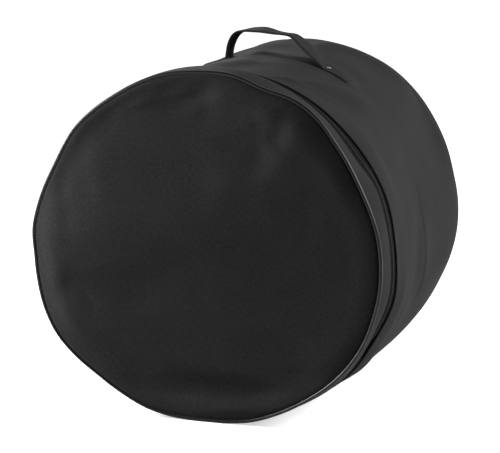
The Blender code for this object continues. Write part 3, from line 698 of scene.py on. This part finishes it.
# The folded edge is one cloth thicker, and the panel comes down from it over 20 mm.
body_outside = [(y, -CLOTH * max(0.0, 1 - (y - BODY_EDGE) / 0.02))
                for y, depth in straight(BODY_EDGE + 0.003, BACK - BACK_HEM, 0, 84)]
turned_in = rounded(BACK - BACK_HEM, BACK_HEM, BACK_HEM, (22, 45, 68, 85))
body_inside = straight(BACK - 0.001, BODY_EDGE + FLAP, PAD, 22)
body_wall = sweep("body_wall", flap + body_outside + turned_in + body_inside, outer_cloth, lift=CLOTH)
dress(body_wall, stay, "outer_cloth", "body_outer_panel", "body_padding", padded=True)
print("body wall:", len(body_wall.data.polygons), "faces")

# %% [markdown]
# ## The band behind the piping
#
# A band of the same padded cloth joins the front to the zipper. Over the top it belongs to the lid. Between
# the zipper's ends it goes on to the body without a break, and there it is the hinge.

# %% Lid band and hinge band
BAND_FRONT = PIPING_MIDDLE + 0.0026
BAND_HOLD = 0.012


def drawn_forward(angle, y):
    """The band's free edge doesn't run true: it is drawn forward a little, and most at its upper right."""
    pull = 0.0028 + 0.0035 * np.exp(-((angle - 48) / 13) ** 2) + 0.0015 * np.exp(-((angle + 75) / 20) ** 2)
    return -pull * np.clip((y - BAND_FRONT - BAND_HOLD) / (LID_EDGE - BAND_FRONT - BAND_HOLD), 0, 1) ** 1.5


lid_band = sweep("lid_band", wall(BAND_FRONT, LID_EDGE, 0, PAD, HEM, 12), outer_cloth, -ZIP_END, ZIP_END,
                 shift=drawn_forward)
dress(lid_band, bend_with_lid, "outer_cloth", "lid_gusset_panel", "lid_gusset_padding", padded=True)
hinge_band = sweep("hinge_band", wall(BAND_FRONT, BODY_EDGE + 0.0004, 0, PAD, HEM, 18), outer_cloth,
                   ZIP_END, 360 - ZIP_END)
dress(hinge_band, stay, "outer_cloth", "hinge_outer_panel", "hinge_padding", padded=True)

# %% [markdown]
# ## The round front
#
# The front is a disc of cloth on foam, held by the piping all round. It is nearly flat, with soft dents
# below its top edge and a full curve along the bottom where the padding has slid down. A disc made of rings
# has a bad pole in its middle, so a square grid is pressed into the round instead: its cells stay nearly
# square, and the folds come out clean in every direction.

# %% Front pad
# (to the right of the axis, above the axis) in mm, seen from the front; heights are towards the viewer.
# These numbers too were worked out by a separate program, which fitted their shading to the photograph. The
# heights were then raised by a third.
FACE_FOLDS = (
    (162, 250, 35, 249, 11, -1.0, 9), (-129, 182, 7, 251, 47, 5.4, -26),
    (-17, 190, -20, 552, 107, -15.2, -40), (37, 231, -59, 115, 35, 4.5, 26),
    (-3, 150, 41, 373, 55, -2.7, 31), (93, 190, -82, 117, 29, -4.8, -13),
    (115, 199, -88, 242, 116, 13.6, 40), (31, 232, -7, 82, 27, -3.4, -16), (18, 178, -72, 172, 33, 3.5, -11),
    (-284, 29, 0, 61, 61, -5.1, -40), (-236, -108, 33, 57, 24, 3.5, -6), (-182, -14, 54, 392, 69, 3.6, -29),
    (-279, -138, 11, 333, 43, 12.3, -40), (-279, 113, -40, 304, 72, 6.1, 16),
    (-255, 105, -88, 376, 26, -8.8, 1), (72, -233, -1, 389, 24, -9.9, -17),
    (119, -96, 78, 198, 120, -8.5, 2), (-111, -220, 67, 72, 66, -3.7, -40),
    (-128, -234, -15, 40, 21, -0.4, -21), (88, -265, 0, 242, 9, 5.2, -19), (290, -155, 79, 555, 47, 3.9, 11),
    (-125, 284, 87, 179, 64, 9.8, 11), (272, 163, -56, 370, 45, 15.0, 32), (132, 207, 60, 58, 20, -4.4, -3),
    (-43, 256, 35, 170, 18, 5.2, 28), (-133, -104, 7, 381, 75, -8.1, -6), (-62, 240, 14, 146, 15, -4.6, 5),
    (-44, 286, 35, 166, 10, 3.0, 9), (30, 183, -83, 149, 38, -2.6, -22), (-68, 270, 12, 246, 14, -7.6, -28),
    (290, -177, -12, 241, 35, 3.1, -16), (-220, 147, -79, 185, 25, -3.4, -5),
    (-202, -10, -81, 49, 62, -1.2, 5), (-275, 18, -74, 253, 45, 15.9, -40),
    (153, -202, -13, 435, 18, -4.6, 21), (146, -213, 9, 61, 13, 1.5, 3),
)
FACE_CROWN, FACE_STEPS = 0.004, 150
# The cloth is tight beside the piping. Further in, the pad lets no fold pass a limit.
FACE_TIGHT, FOLD_LIMIT, FOLD_LEVEL = 0.045, 0.010, 0.0012
FACE_PUFF, FACE_TUCK, FACE_LAP = 0.0014, 0.0025, 0.0006
# The pad's edge lies a little above the floor, and so does the skin under the piping.
FACE_LIFT, PIPING_LIFT = 0.003, 0.001
FRONT_PAD_INSIDE, BACK_PAD_INSIDE = FRONT + 0.0088, BACK - 0.0078


def rumple_at(name, across, up, share):
    """The settled cloth's height on a round end, at places given as disc_pad gives them."""
    if name not in rumples:
        return 0.0
    angle = np.arctan2(across, up)
    column, row = square_of(share * np.sin(angle), share * np.cos(angle))
    return looked_up(rumples[name], column, row)


def disc_pad(name, edge, front_height, back_height, steps, material, lift=0.0):
    """A closed round pad. edge(angle) is its radius; the heights are functions of (across, up, share of the
    radius) and give places along the tube."""
    a, b = disc_grid(steps)
    share = np.hypot(a, b)
    angle = np.degrees(np.arctan2(a, b))
    reach = share * edge(angle)
    across, up = reach * np.sin(np.radians(angle)), reach * np.cos(np.radians(angle))
    up = np.maximum(up, -AXIS_HEIGHT + lift)
    sides = [np.stack([across, height(across, up, share), up + AXIS_HEIGHT], -1).reshape(-1, 3)
             for height in (front_height, back_height)]
    n = steps + 1
    quads = grid_quads(n, n)
    index = np.arange(n * n).reshape(n, n)
    border = np.concatenate([index[:-1, 0], index[-1, :-1], index[:0:-1, -1], index[0, :0:-1]])
    after = np.roll(border, -1)
    rim_quads = np.stack([border, after, after + n * n, border + n * n], -1)
    faces = np.concatenate([quads, quads[:, ::-1] + n * n, rim_quads])
    flat = np.tile(np.stack([across.ravel(), up.ravel()], -1), (2, 1))
    return solid(name, np.concatenate(sides).tolist(), faces.tolist(), flat[faces].reshape(-1, 2), material)


def flat_at(place):
    """A side of a pad that is flat, at a place along the tube."""
    return lambda across, up, share: np.full_like(across, place)


def face_edge(angle):
    return skin(angle, PIPING_MIDDLE, PIPING_LIFT) - PIPING_INSET - PIPING_RADIUS + FACE_LAP


def face_front(across, up, share):
    """The cloth dips to the seam beside the piping, stands full inside it, and carries the folds."""
    inwards = (1 - share) * RADIUS
    full = 1 - np.exp(-inwards / FACE_TUCK)
    folds = FOLD_LIMIT * np.tanh((FOLD_LEVEL + ridges(FACE_FOLDS, across, up)) / FOLD_LIMIT)
    height = FACE_PUFF * full + FACE_CROWN * (1 - share ** 2) + folds * soft_step(inwards / FACE_TIGHT)
    height = height + rumple_at("front", across, up, share) * full
    return PIPING_MIDDLE - CLOTH - height


front_pad = disc_pad("front_pad", face_edge, face_front, flat_at(FRONT_PAD_INSIDE), FACE_STEPS, outer_cloth,
                     FACE_LIFT)
dress(front_pad, bend_with_lid, "outer_cloth", "lid_outer_panel", "lid_padding", "lower_outer_panel",
      "lower_padding", padded=True)
print("front pad:", len(front_pad.data.polygons), "faces")

# %% [markdown]
# ## The piping
#
# A strip of vinyl wrapped round a cord is caught in the seam between the front and the band. It is the
# brightest line on the bag, because it is smooth and round, and it shows every waver of the rim. Its
# section is a circle with a flat tail that goes down into the seam.

# %% Piping
TAIL_DEPTH, TAIL_HALF = 0.0048, 0.0005
tail = [(PIPING_MIDDLE + side * TAIL_HALF, PIPING_INSET + TAIL_DEPTH) for side in (1, -1)]
piping_section = rounded(PIPING_MIDDLE, PIPING_INSET, PIPING_RADIUS, range(-160, 161, 20)) + tail
piping = sweep("piping", piping_section, piping_vinyl, lift=PIPING_LIFT)
dress(piping, bend_with_lid, "piping_vinyl", "lid_piping", "lower_piping", "lid_piping_cord",
      "lower_piping_cord")

# %% [markdown]
# ## The round back
#
# The back is cut as the front is, but it has no piping: its edge is turned in and sewn straight to the
# body, which leaves a soft round edge.

# %% Back pad
BACK_FOLDS = (
    (60, 200, 70, 160, 18, 3.0, 8), (-120, 190, 120, 150, 16, -3.0, 6), (-200, -20, 95, 190, 18, 2.5, 8),
    (150, -60, 80, 180, 20, -2.5, 10), (0, -235, 0, 300, 22, 5.0, 20), (10, -200, 0, 300, 16, -3.5, 20),
    (220, 90, 60, 120, 14, 2.0, 4), (-60, 60, 60, 200, 30, 1.5, 0),
)
BACK_INSET, BACK_CROWN, BACK_PUFF, BACK_TUCK, BACK_STEPS = 0.0062, 0.003, 0.002, 0.009, 120


def back_edge_radius(angle):
    return skin(angle, BACK) - BACK_INSET


def back_outside(across, up, share):
    full = 1 - np.exp(-(1 - share) * RADIUS / BACK_TUCK)
    height = BACK_CROWN * (1 - share ** 2) + (BACK_PUFF + ridges(BACK_FOLDS, across, up)) * full
    return BACK - BACK_PUFF + height + rumple_at("back", across, up, share) * full


back_pad = disc_pad("back_pad", back_edge_radius, back_outside, flat_at(BACK_PAD_INSIDE), BACK_STEPS,
                    outer_cloth, BACK_INSET)
dress(back_pad, stay, "outer_cloth", "back_outer_panel", "back_padding", padded=True)

# %% [markdown]
# ## The lining
#
# Inside, a smooth lining covers the foam, and a woven tape hides each raw seam. They show as soon as the lid
# is open. Each is a thin closed sheet that lies on the padding.

# %% Linings and bindings
# A slit of air keeps each layer off the one that it lies on.
LINING, SLIT = 0.0008, 0.0003
lining_top = PAD + SLIT
binding_top = lining_top + LINING + SLIT
inner_front, inner_back = FRONT_PAD_INSIDE + SLIT, BACK_PAD_INSIDE - SLIT
tape_back = BODY_EDGE + FLAP


def round_lining(name, near, far, count, *span):
    return sweep(name, thin(near, far, lining_top, LINING, count), lining_cloth, *span, step=2.0)


def end_lining(name, seam, outside, inside):
    return disc_pad(name, lambda angle: skin(angle, seam) - lining_top - LINING - SLIT, flat_at(outside),
                    flat_at(inside), 60, lining_cloth, lining_top + LINING)


body_lining = round_lining("body_lining_sheet", tape_back - 0.0005, BACK - 0.0083, 30)
lid_band_lining = round_lining("lid_band_lining_sheet", inner_front, LID_EDGE - 0.0085, 8, -ZIP_END, ZIP_END)
hinge_lining = round_lining("hinge_lining_sheet", inner_front, tape_back - 0.0010, 12, ZIP_END, 360 - ZIP_END)
front_lining = end_lining("front_lining_sheet", PIPING_MIDDLE, inner_front, inner_front + LINING)
back_lining = end_lining("back_lining_sheet", BACK - 0.01, inner_back, inner_back - LINING)
for sheet, move, nodes, flat, area in (
        (body_lining, stay, ("body_lining",), (1.82, 0.415), None),
        (lid_band_lining, bend_with_lid, ("lid_gusset_lining",), (1.27, 0.031), None),
        (hinge_lining, stay, ("hinge_lining",), (0.54, 0.075), None),
        (front_lining, bend_with_lid, ("lid_lining", "lower_lining"), (0.58, 0.58), 0.262),
        (back_lining, stay, ("back_lining",), (0.58, 0.58), 0.262)):
    dress(sheet, move, "lining_cloth", *nodes)

BINDING_WIDTH = 0.012
for name, near, move, nodes in (
        ("front_seam_binding", FRONT + 0.0102, bend_with_lid, ("lid_seam_binding", "lower_seam_binding")),
        ("back_seam_tape", BACK - 0.0212, stay, ("back_seam_binding",))):
    binding = sweep(name, thin(near, near + BINDING_WIDTH, binding_top, LINING), binding_cloth, step=1.5)
    dress(binding, move, "binding_tape", *nodes)

# %% [markdown]
# ## The zipper's tapes
#
# Each tape is sewn under a folded edge of cloth and carries one side of the coil on its free edge.

# %% Tapes
TAPE_DEPTH, TAPE = 0.0020, 0.0010
COIL_GAP, COIL_WIDTH = 0.0016, 0.0035
TAPE_EDGE = COIL_GAP / 2 + 0.0004


def tape_section(near, far, near_drop, far_drop):
    """A tape's section. Its sewn edge lies deeper than the one that carries the coil."""
    drops = [(near, near_drop), (near + (far - near) * 0.35, near_drop * 0.7 + far_drop * 0.3),
             (near + (far - near) * 0.7, near_drop * 0.2 + far_drop * 0.8), (far, far_drop)]
    top = [(y, TAPE_DEPTH + drop) for y, drop in drops]
    return top + [(y, depth + TAPE) for y, depth in top[::-1]]


for side, move, section in (
        ("lid", bend_with_lid, tape_section(LID_EDGE - 0.0090, STRIP_MIDDLE - TAPE_EDGE, 0.0028, 0)),
        ("body", stay, tape_section(STRIP_MIDDLE + TAPE_EDGE, BODY_EDGE + 0.0075, 0, 0.0012))):
    tape = sweep(side + "_tape", section, tape_cloth, -ZIP_END, ZIP_END)
    dress(tape, move, "zipper_tape", "zip_tape_" + side)

# %% [markdown]
# ## Stitches and coils, by Geometry Nodes
#
# Both repeat hundreds of times along a line that follows the cloth. A node tree takes that line, puts a
# point on it every few millimetres, and sets one small shape on each: a stitch lies along the line, a loop
# of the coil stands across it. Copying objects by hand would be slow to change; the tree has the spacing
# and the sizes as inputs.

# %% The tree
def repeat_tree():
    """Sets a small ring or bead every so often along a line of edges."""
    tree = bpy.data.node_groups.new("repeat_along_a_line", "GeometryNodeTree")
    sockets = {}
    face = tree.interface
    sockets["line"] = face.new_socket(name="line", in_out="INPUT", socket_type="NodeSocketGeometry")
    for name, value in (("spacing", 0.004), ("length", 0.003), ("width", 0.0006), ("height", 0.0004),
                        ("wire", 0.0002), ("slant", 0.0)):
        sockets[name] = face.new_socket(name=name, in_out="INPUT", socket_type="NodeSocketFloat")
        sockets[name].default_value = value
    for name, kind in (("looped", "NodeSocketBool"), ("finish", "NodeSocketMaterial")):
        sockets[name] = face.new_socket(name=name, in_out="INPUT", socket_type=kind)
    face.new_socket(name="pieces", in_out="OUTPUT", socket_type="NodeSocketGeometry")
    given = add(tree, "NodeGroupInput").outputs
    curve = add(tree, "GeometryNodeMeshToCurve", {"Mesh": given["line"]})
    spots = add(tree, "GeometryNodeCurveToPoints", {"Curve": curve.outputs[0], "Length": given["spacing"]},
                mode="LENGTH")
    up = add(tree, "GeometryNodeInputNamedAttribute", {"Name": "outwards"}, data_type="FLOAT_VECTOR")
    lie = add(tree, "FunctionNodeAxesToRotation",
              {"Primary Axis": spots.outputs["Tangent"], "Secondary Axis": up.outputs[0]},
              primary_axis="X", secondary_axis="Z")
    bead = add(tree, "GeometryNodeMeshIcoSphere", {"Radius": 1.0, "Subdivisions": 1})
    size = add(tree, "ShaderNodeCombineXYZ", {0: given["length"], 1: given["width"], 2: given["height"]})
    half = add(tree, "ShaderNodeVectorMath", {0: size.outputs[0], "Scale": 0.5}, operation="SCALE")
    bead = add(tree, "GeometryNodeTransform", {"Geometry": bead.outputs[0], "Scale": half.outputs[0]})
    circle = add(tree, "GeometryNodeCurvePrimitiveCircle", {"Resolution": 8, "Radius": 0.5}, mode="RADIUS")
    stand = add(tree, "ShaderNodeCombineXYZ", {0: given["width"], 1: given["height"], 2: 1.0})
    oval = add(tree, "GeometryNodeTransform", {"Geometry": circle.outputs[0], "Scale": stand.outputs[0]})
    upright = add(tree, "ShaderNodeCombineXYZ", {0: math.pi / 2, 1: 0.0, 2: given["slant"]})
    oval = add(tree, "GeometryNodeTransform", {"Geometry": oval.outputs[0], "Rotation": upright.outputs[0]})
    wire = add(tree, "GeometryNodeCurvePrimitiveCircle", {"Resolution": 4, "Radius": given["wire"]},
               mode="RADIUS")
    loop = add(tree, "GeometryNodeCurveToMesh", {"Curve": oval.outputs[0], "Profile Curve": wire.outputs[0]})
    shape = add(tree, "GeometryNodeSwitch", {"Switch": given["looped"], "False": bead.outputs[0],
                                             "True": loop.outputs[0]}, input_type="GEOMETRY")
    placed = add(tree, "GeometryNodeInstanceOnPoints",
                 {"Points": spots.outputs[0], "Instance": shape.outputs[0], "Rotation": lie.outputs[0]})
    real = add(tree, "GeometryNodeRealizeInstances", {0: placed.outputs[0]})
    done = add(tree, "GeometryNodeSetMaterial", {"Geometry": real.outputs[0], "Material": given["finish"]})
    add(tree, "NodeGroupOutput", {0: done.outputs[0]})
    return tree, sockets


REPEAT, SOCKETS = repeat_tree()

# %% Lines on the cloth
def outwards_at(points, outwards, name):
    """A mesh of edges through each row of points, each point with the direction away from the cloth."""
    data = bpy.data.meshes.new(name)
    verts, edges, ups = [], [], []
    for row, up in zip(points, outwards):
        first = len(verts)
        verts += row
        ups += up
        edges += [(first + k, first + k + 1) for k in range(len(row) - 1)]
    data.from_pydata(verts, edges, [])
    attribute = data.attributes.new("outwards", "FLOAT_VECTOR", "POINT")
    attribute.data.foreach_set("vector", np.array(ups, float).ravel())
    return data


def on_cloth(angles, y, height):
    """A line through angles and places along the tube, at a height above the skin: its points, and the
    direction away from the cloth at each."""
    angles, y = np.broadcast_arrays(angles, y)
    turn = np.radians(angles)
    ups = np.stack([np.sin(turn), 0 * turn, np.cos(turn)], -1)
    return around(skin(angles, y) + height, angles, y).tolist(), ups.tolist()


def round_line(y, height, start=-ZIP_END, end=ZIP_END):
    """A line round the tube with a point every half degree, as long as the zipper or between two angles."""
    return on_cloth(np.linspace(start, end, max(2, round((end - start) / 0.5)) + 1), y, height)


def repeated(name, lines, finish, **sizes):
    """Runs the tree over some lines and keeps the result as a plain mesh."""
    data = outwards_at(*zip(*lines), name + "_line")
    guide = placed(name + "_line", data)
    modifier = guide.modifiers.new("repeat", "NODES")
    modifier.node_group = REPEAT
    for key, value in dict(sizes, finish=finish).items():
        modifier[SOCKETS[key].identifier] = value
    evaluated = guide.evaluated_get(bpy.context.evaluated_depsgraph_get())
    mesh = bpy.data.meshes.new_from_object(evaluated)
    bpy.data.objects.remove(guide)
    mesh.name = name
    print(name, len(mesh.polygons), "faces")
    return placed(name, mesh)

# %% Coils
COIL_DEPTH = 0.0021
COIL_PLACE = COIL_GAP / 2 + COIL_WIDTH / 2 - 0.0010
for side, move, sign in (("lid", bend_with_lid, -1), ("body", stay, 1)):
    line = round_line(STRIP_MIDDLE + sign * COIL_PLACE, -COIL_DEPTH)
    coil = repeated(side + "_coil", [line], coil_nylon, spacing=0.0022, width=COIL_WIDTH, height=0.0020,
                    wire=0.00042, slant=0.25, looped=True)
    dress(coil, move, "zipper_coil", "zip_coil_" + side)

# %% [markdown]
# ## Seams
#
# A row of stitches holds each folded edge to its tape, and two more rows run along the tapes.

# %% Stitch rows
stitch = dict(spacing=0.0042, length=0.0032, width=0.0009, height=0.0007, looped=False)
ON_TAPE = 0.0001 - TAPE_DEPTH
for side, move, hem_row, hem_height, tape_row in (
        ("body", stay, BODY_EDGE + 0.0048, 0.0009, BODY_EDGE - 0.0035),
        ("lid", bend_with_lid, LID_EDGE - 0.0045, 0.0, LID_EDGE + 0.0035)):
    rows = [round_line(hem_row, hem_height), round_line(tape_row, ON_TAPE)]
    dress(repeated(side + "_stitches", rows, thread_black, **stitch), move, "outer_cloth")

# %% [markdown]
# ## The zipper's ends
#
# A square of cloth is sewn over each end of the zipper, so that it can't be pulled open further. A row of
# stitches goes round each square.

# %% End tabs
TAB_REACH, TAB_OVERLAP, TAB_MARGIN, TAB_SEWN = 7.8, 0.2, 0.5, 0.0013
for side, start in (("right", ZIP_END - TAB_OVERLAP), ("left", TAB_OVERLAP - ZIP_END - TAB_REACH)):
    section = thin(LID_EDGE - 0.002, BODY_EDGE + 0.003, -CLOTH, 0.0011, 8)
    tab = sweep("end_tab_" + side, section, outer_cloth, start, start + TAB_REACH, 0.6)
    dress(tab, stay, "outer_cloth", "zip_end_tab_" + side)
    ends = start + TAB_MARGIN, start + TAB_REACH - TAB_MARGIN
    edges = LID_EDGE - 0.0006, BODY_EDGE + 0.0016
    rows = [round_line(y, TAB_SEWN, *ends) for y in edges]
    rows += [on_cloth(angle, np.linspace(*edges, 9), TAB_SEWN) for angle in ends]
    sewn = repeated("end_tab_stitches_" + side, rows, thread_black, **stitch)
    dress(sewn, stay, "outer_cloth")

# %% [markdown]
# ## The handle
#
# The handle is a flat strap of folded cloth, 40 mm wide and about 4 mm thick, sewn to the top by two square
# tabs. It is stiff enough to stand, but it wavers along its edges. Its line runs from one tab over the loop
# to the other, in the plane across the tube, turned a few degrees to the right as the bag is.

# %% Strap
HANDLE_TURN = math.radians(8)
STRAP_MIDDLE = FRONT + 0.262
STRAP_WIDTH, STRAP_THICKNESS = 0.040, 0.004


def handle_point(across, up, along=0.0):
    """A point of the handle, from its own upright frame: across, up from the tube's axis, along the tube."""
    c, s = math.cos(HANDLE_TURN), math.sin(HANDLE_TURN)
    return Vector((across * c + up * s, STRAP_MIDDLE + along, AXIS_HEIGHT - across * s + up * c))


def smooth(points, steps):
    """A Catmull-Rom curve through points."""
    points = [Vector(p) for p in points]
    padded = [2 * points[0] - points[1], *points, 2 * points[-1] - points[-2]]
    curve = []
    for a, b, c, d in zip(padded, padded[1:], padded[2:], padded[3:]):
        for k in range(steps):
            t = k / steps
            curve.append(0.5 * (2 * b + (c - a) * t + (2 * a - 5 * b + 4 * c - d) * t * t
                                + (3 * b - a - 3 * c + d) * t ** 3))
    return curve + [points[-1]]


def strap(name, line, thickness, waver):
    """A flat strap with round edges along points of (across, up), bent a little to both sides."""
    half, edge = STRAP_WIDTH / 2, thickness / 2
    outer = [(-half + edge, edge), (-half / 2, edge), (0, edge * 1.05), (half / 2, edge), (half - edge, edge)]
    corner = (half - edge * 0.3, edge * 0.7)
    section = outer + [corner, (half, 0), (corner[0], -corner[1])]
    section += [(-along, -out) for along, out in section]
    points, travelled = [], [0.0]
    for k, here in enumerate(line):
        ahead = (line[min(k + 1, len(line) - 1)] - line[max(k - 1, 0)]).normalized()
        outwards = Vector((-ahead.y, ahead.x))
        if k:
            travelled.append(travelled[-1] + (here - line[k - 1]).length)
        for along, out in section:
            sway = waver(travelled[-1], along / half)
            spot = here + outwards * (out + sway)
            points.append(handle_point(spot.x, spot.y, along)[:])
    girth = [along for along, out in section] + [section[0][0]]
    return skinned(name, np.array(points).reshape(len(line), -1, 3), travelled, girth, webbing)


LOOP = ((-0.0868, 0.2660), (-0.0863, 0.2850), (-0.0850, 0.3000), (-0.0812, 0.3130), (-0.0735, 0.3225),
        (-0.0600, 0.3282), (-0.0450, 0.3315), (-0.0300, 0.3335), (-0.0100, 0.3333), (0.0050, 0.3342),
        (0.0170, 0.3350), (0.0260, 0.3328), (0.0370, 0.3262), (0.0500, 0.3160), (0.0620, 0.3062),
        (0.0740, 0.2965), (0.0850, 0.2880))


def strap_waver(travelled, side):
    """The strap's own small waves, a little different on its two edges."""
    swing = math.sin(travelled / 0.034 + 0.6) + 0.6 * math.sin(travelled / 0.019 + 2.0 + 0.8 * side)
    return 0.0012 * swing * min(1.0, travelled / 0.03) + 0.0011 * side * math.sin(travelled / 0.013)


handle = strap("handle_loop", smooth(LOOP, 8), STRAP_THICKNESS, strap_waver)
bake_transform(handle)
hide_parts("handle_strap", "handle_leg_left", "handle_leg_right")


def lie_down(start, end):
    """Lets a tab follow the cloth across its width too, as far as its line hasn't done so."""
    length = math.radians(abs(end - start)) * RADIUS

    def sway(travelled, side):
        angle = start + (end - start) * travelled / length + math.degrees(HANDLE_TURN)
        middle, here = skin([angle, angle], [STRAP_MIDDLE, STRAP_MIDDLE + side * STRAP_WIDTH / 2])
        return here - middle
    return sway


def tab_line(start, end):
    """The line of a sewn tab on the cloth, in the handle's frame."""
    line = []
    for degrees in np.linspace(start, end, 12):
        angle = degrees + math.degrees(HANDLE_TURN)
        radius, turn = float(skin(angle, STRAP_MIDDLE)) + TAB_HEIGHT, math.radians(degrees)
        line.append(Vector((radius * math.sin(turn), radius * math.cos(turn))))
    return line


TAB_THICKNESS, TAB_HEIGHT = 0.0024, 0.0008
for side, start, end in (("left", -25.5, -16.0), ("right", 16.0, 25.5)):
    tab = strap("handle_tab_cloth_" + side, tab_line(start, end), TAB_THICKNESS, lie_down(start, end))
    dress(tab, stay, "strap_webbing", "handle_tab_" + side)

# %% [markdown]
# ## Stitches on the handle
#
# Each tab is sewn down all round and across both diagonals, and the foot of the leg that takes the load is
# locked with a few tight, light stitches.

# %% Tab stitches and bar tack
ON_TAB, ON_TACK = 0.0022, 0.0026


def tab_row(start, end, height):
    """A line on a tab between two places, each given as (degrees in the handle's frame, place across it)."""
    degrees, along = (np.linspace(a, b, 9) for a, b in zip(start, end))
    return on_cloth(degrees + math.degrees(HANDLE_TURN), STRAP_MIDDLE + along, height)


for side, sign in (("left", -1), ("right", 1)):
    near, far, half = sign * 17.2, sign * 24.7, 0.0165
    corners = [(near, -half), (far, -half), (far, half), (near, half)]
    rows = [tab_row(a, b, ON_TAB) for a, b in zip(corners, corners[1:] + corners[:1])]
    rows += [tab_row(corners[0], corners[2], ON_TAB), tab_row(corners[1], corners[3], ON_TAB)]
    dress(repeated("tab_stitches_" + side, rows, thread_black, **stitch), stay, "strap_webbing")
tack_rows = [tab_row((17.0, along), (18.1, along + 0.0012), ON_TACK)
             for along in (-0.0050, -0.0036, -0.0022)]
bar_tack = repeated("bar_tack", tack_rows, thread_light, spacing=0.0019, length=0.0017, width=0.0012,
                    height=0.0010, looped=False)
dress(bar_tack, stay, "strap_webbing")

# %% [markdown]
# ## Sliders and pulls
#
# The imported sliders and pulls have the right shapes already, so they stay and only get their finishes.

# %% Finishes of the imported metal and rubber
for part, finish in (("slider", slider_paint), ("pull_tab", slider_paint), ("pull_grip", grip_rubber)):
    for side in "ab":
        bpy.data.objects[part + "_" + side].material_slots[0].material = finish
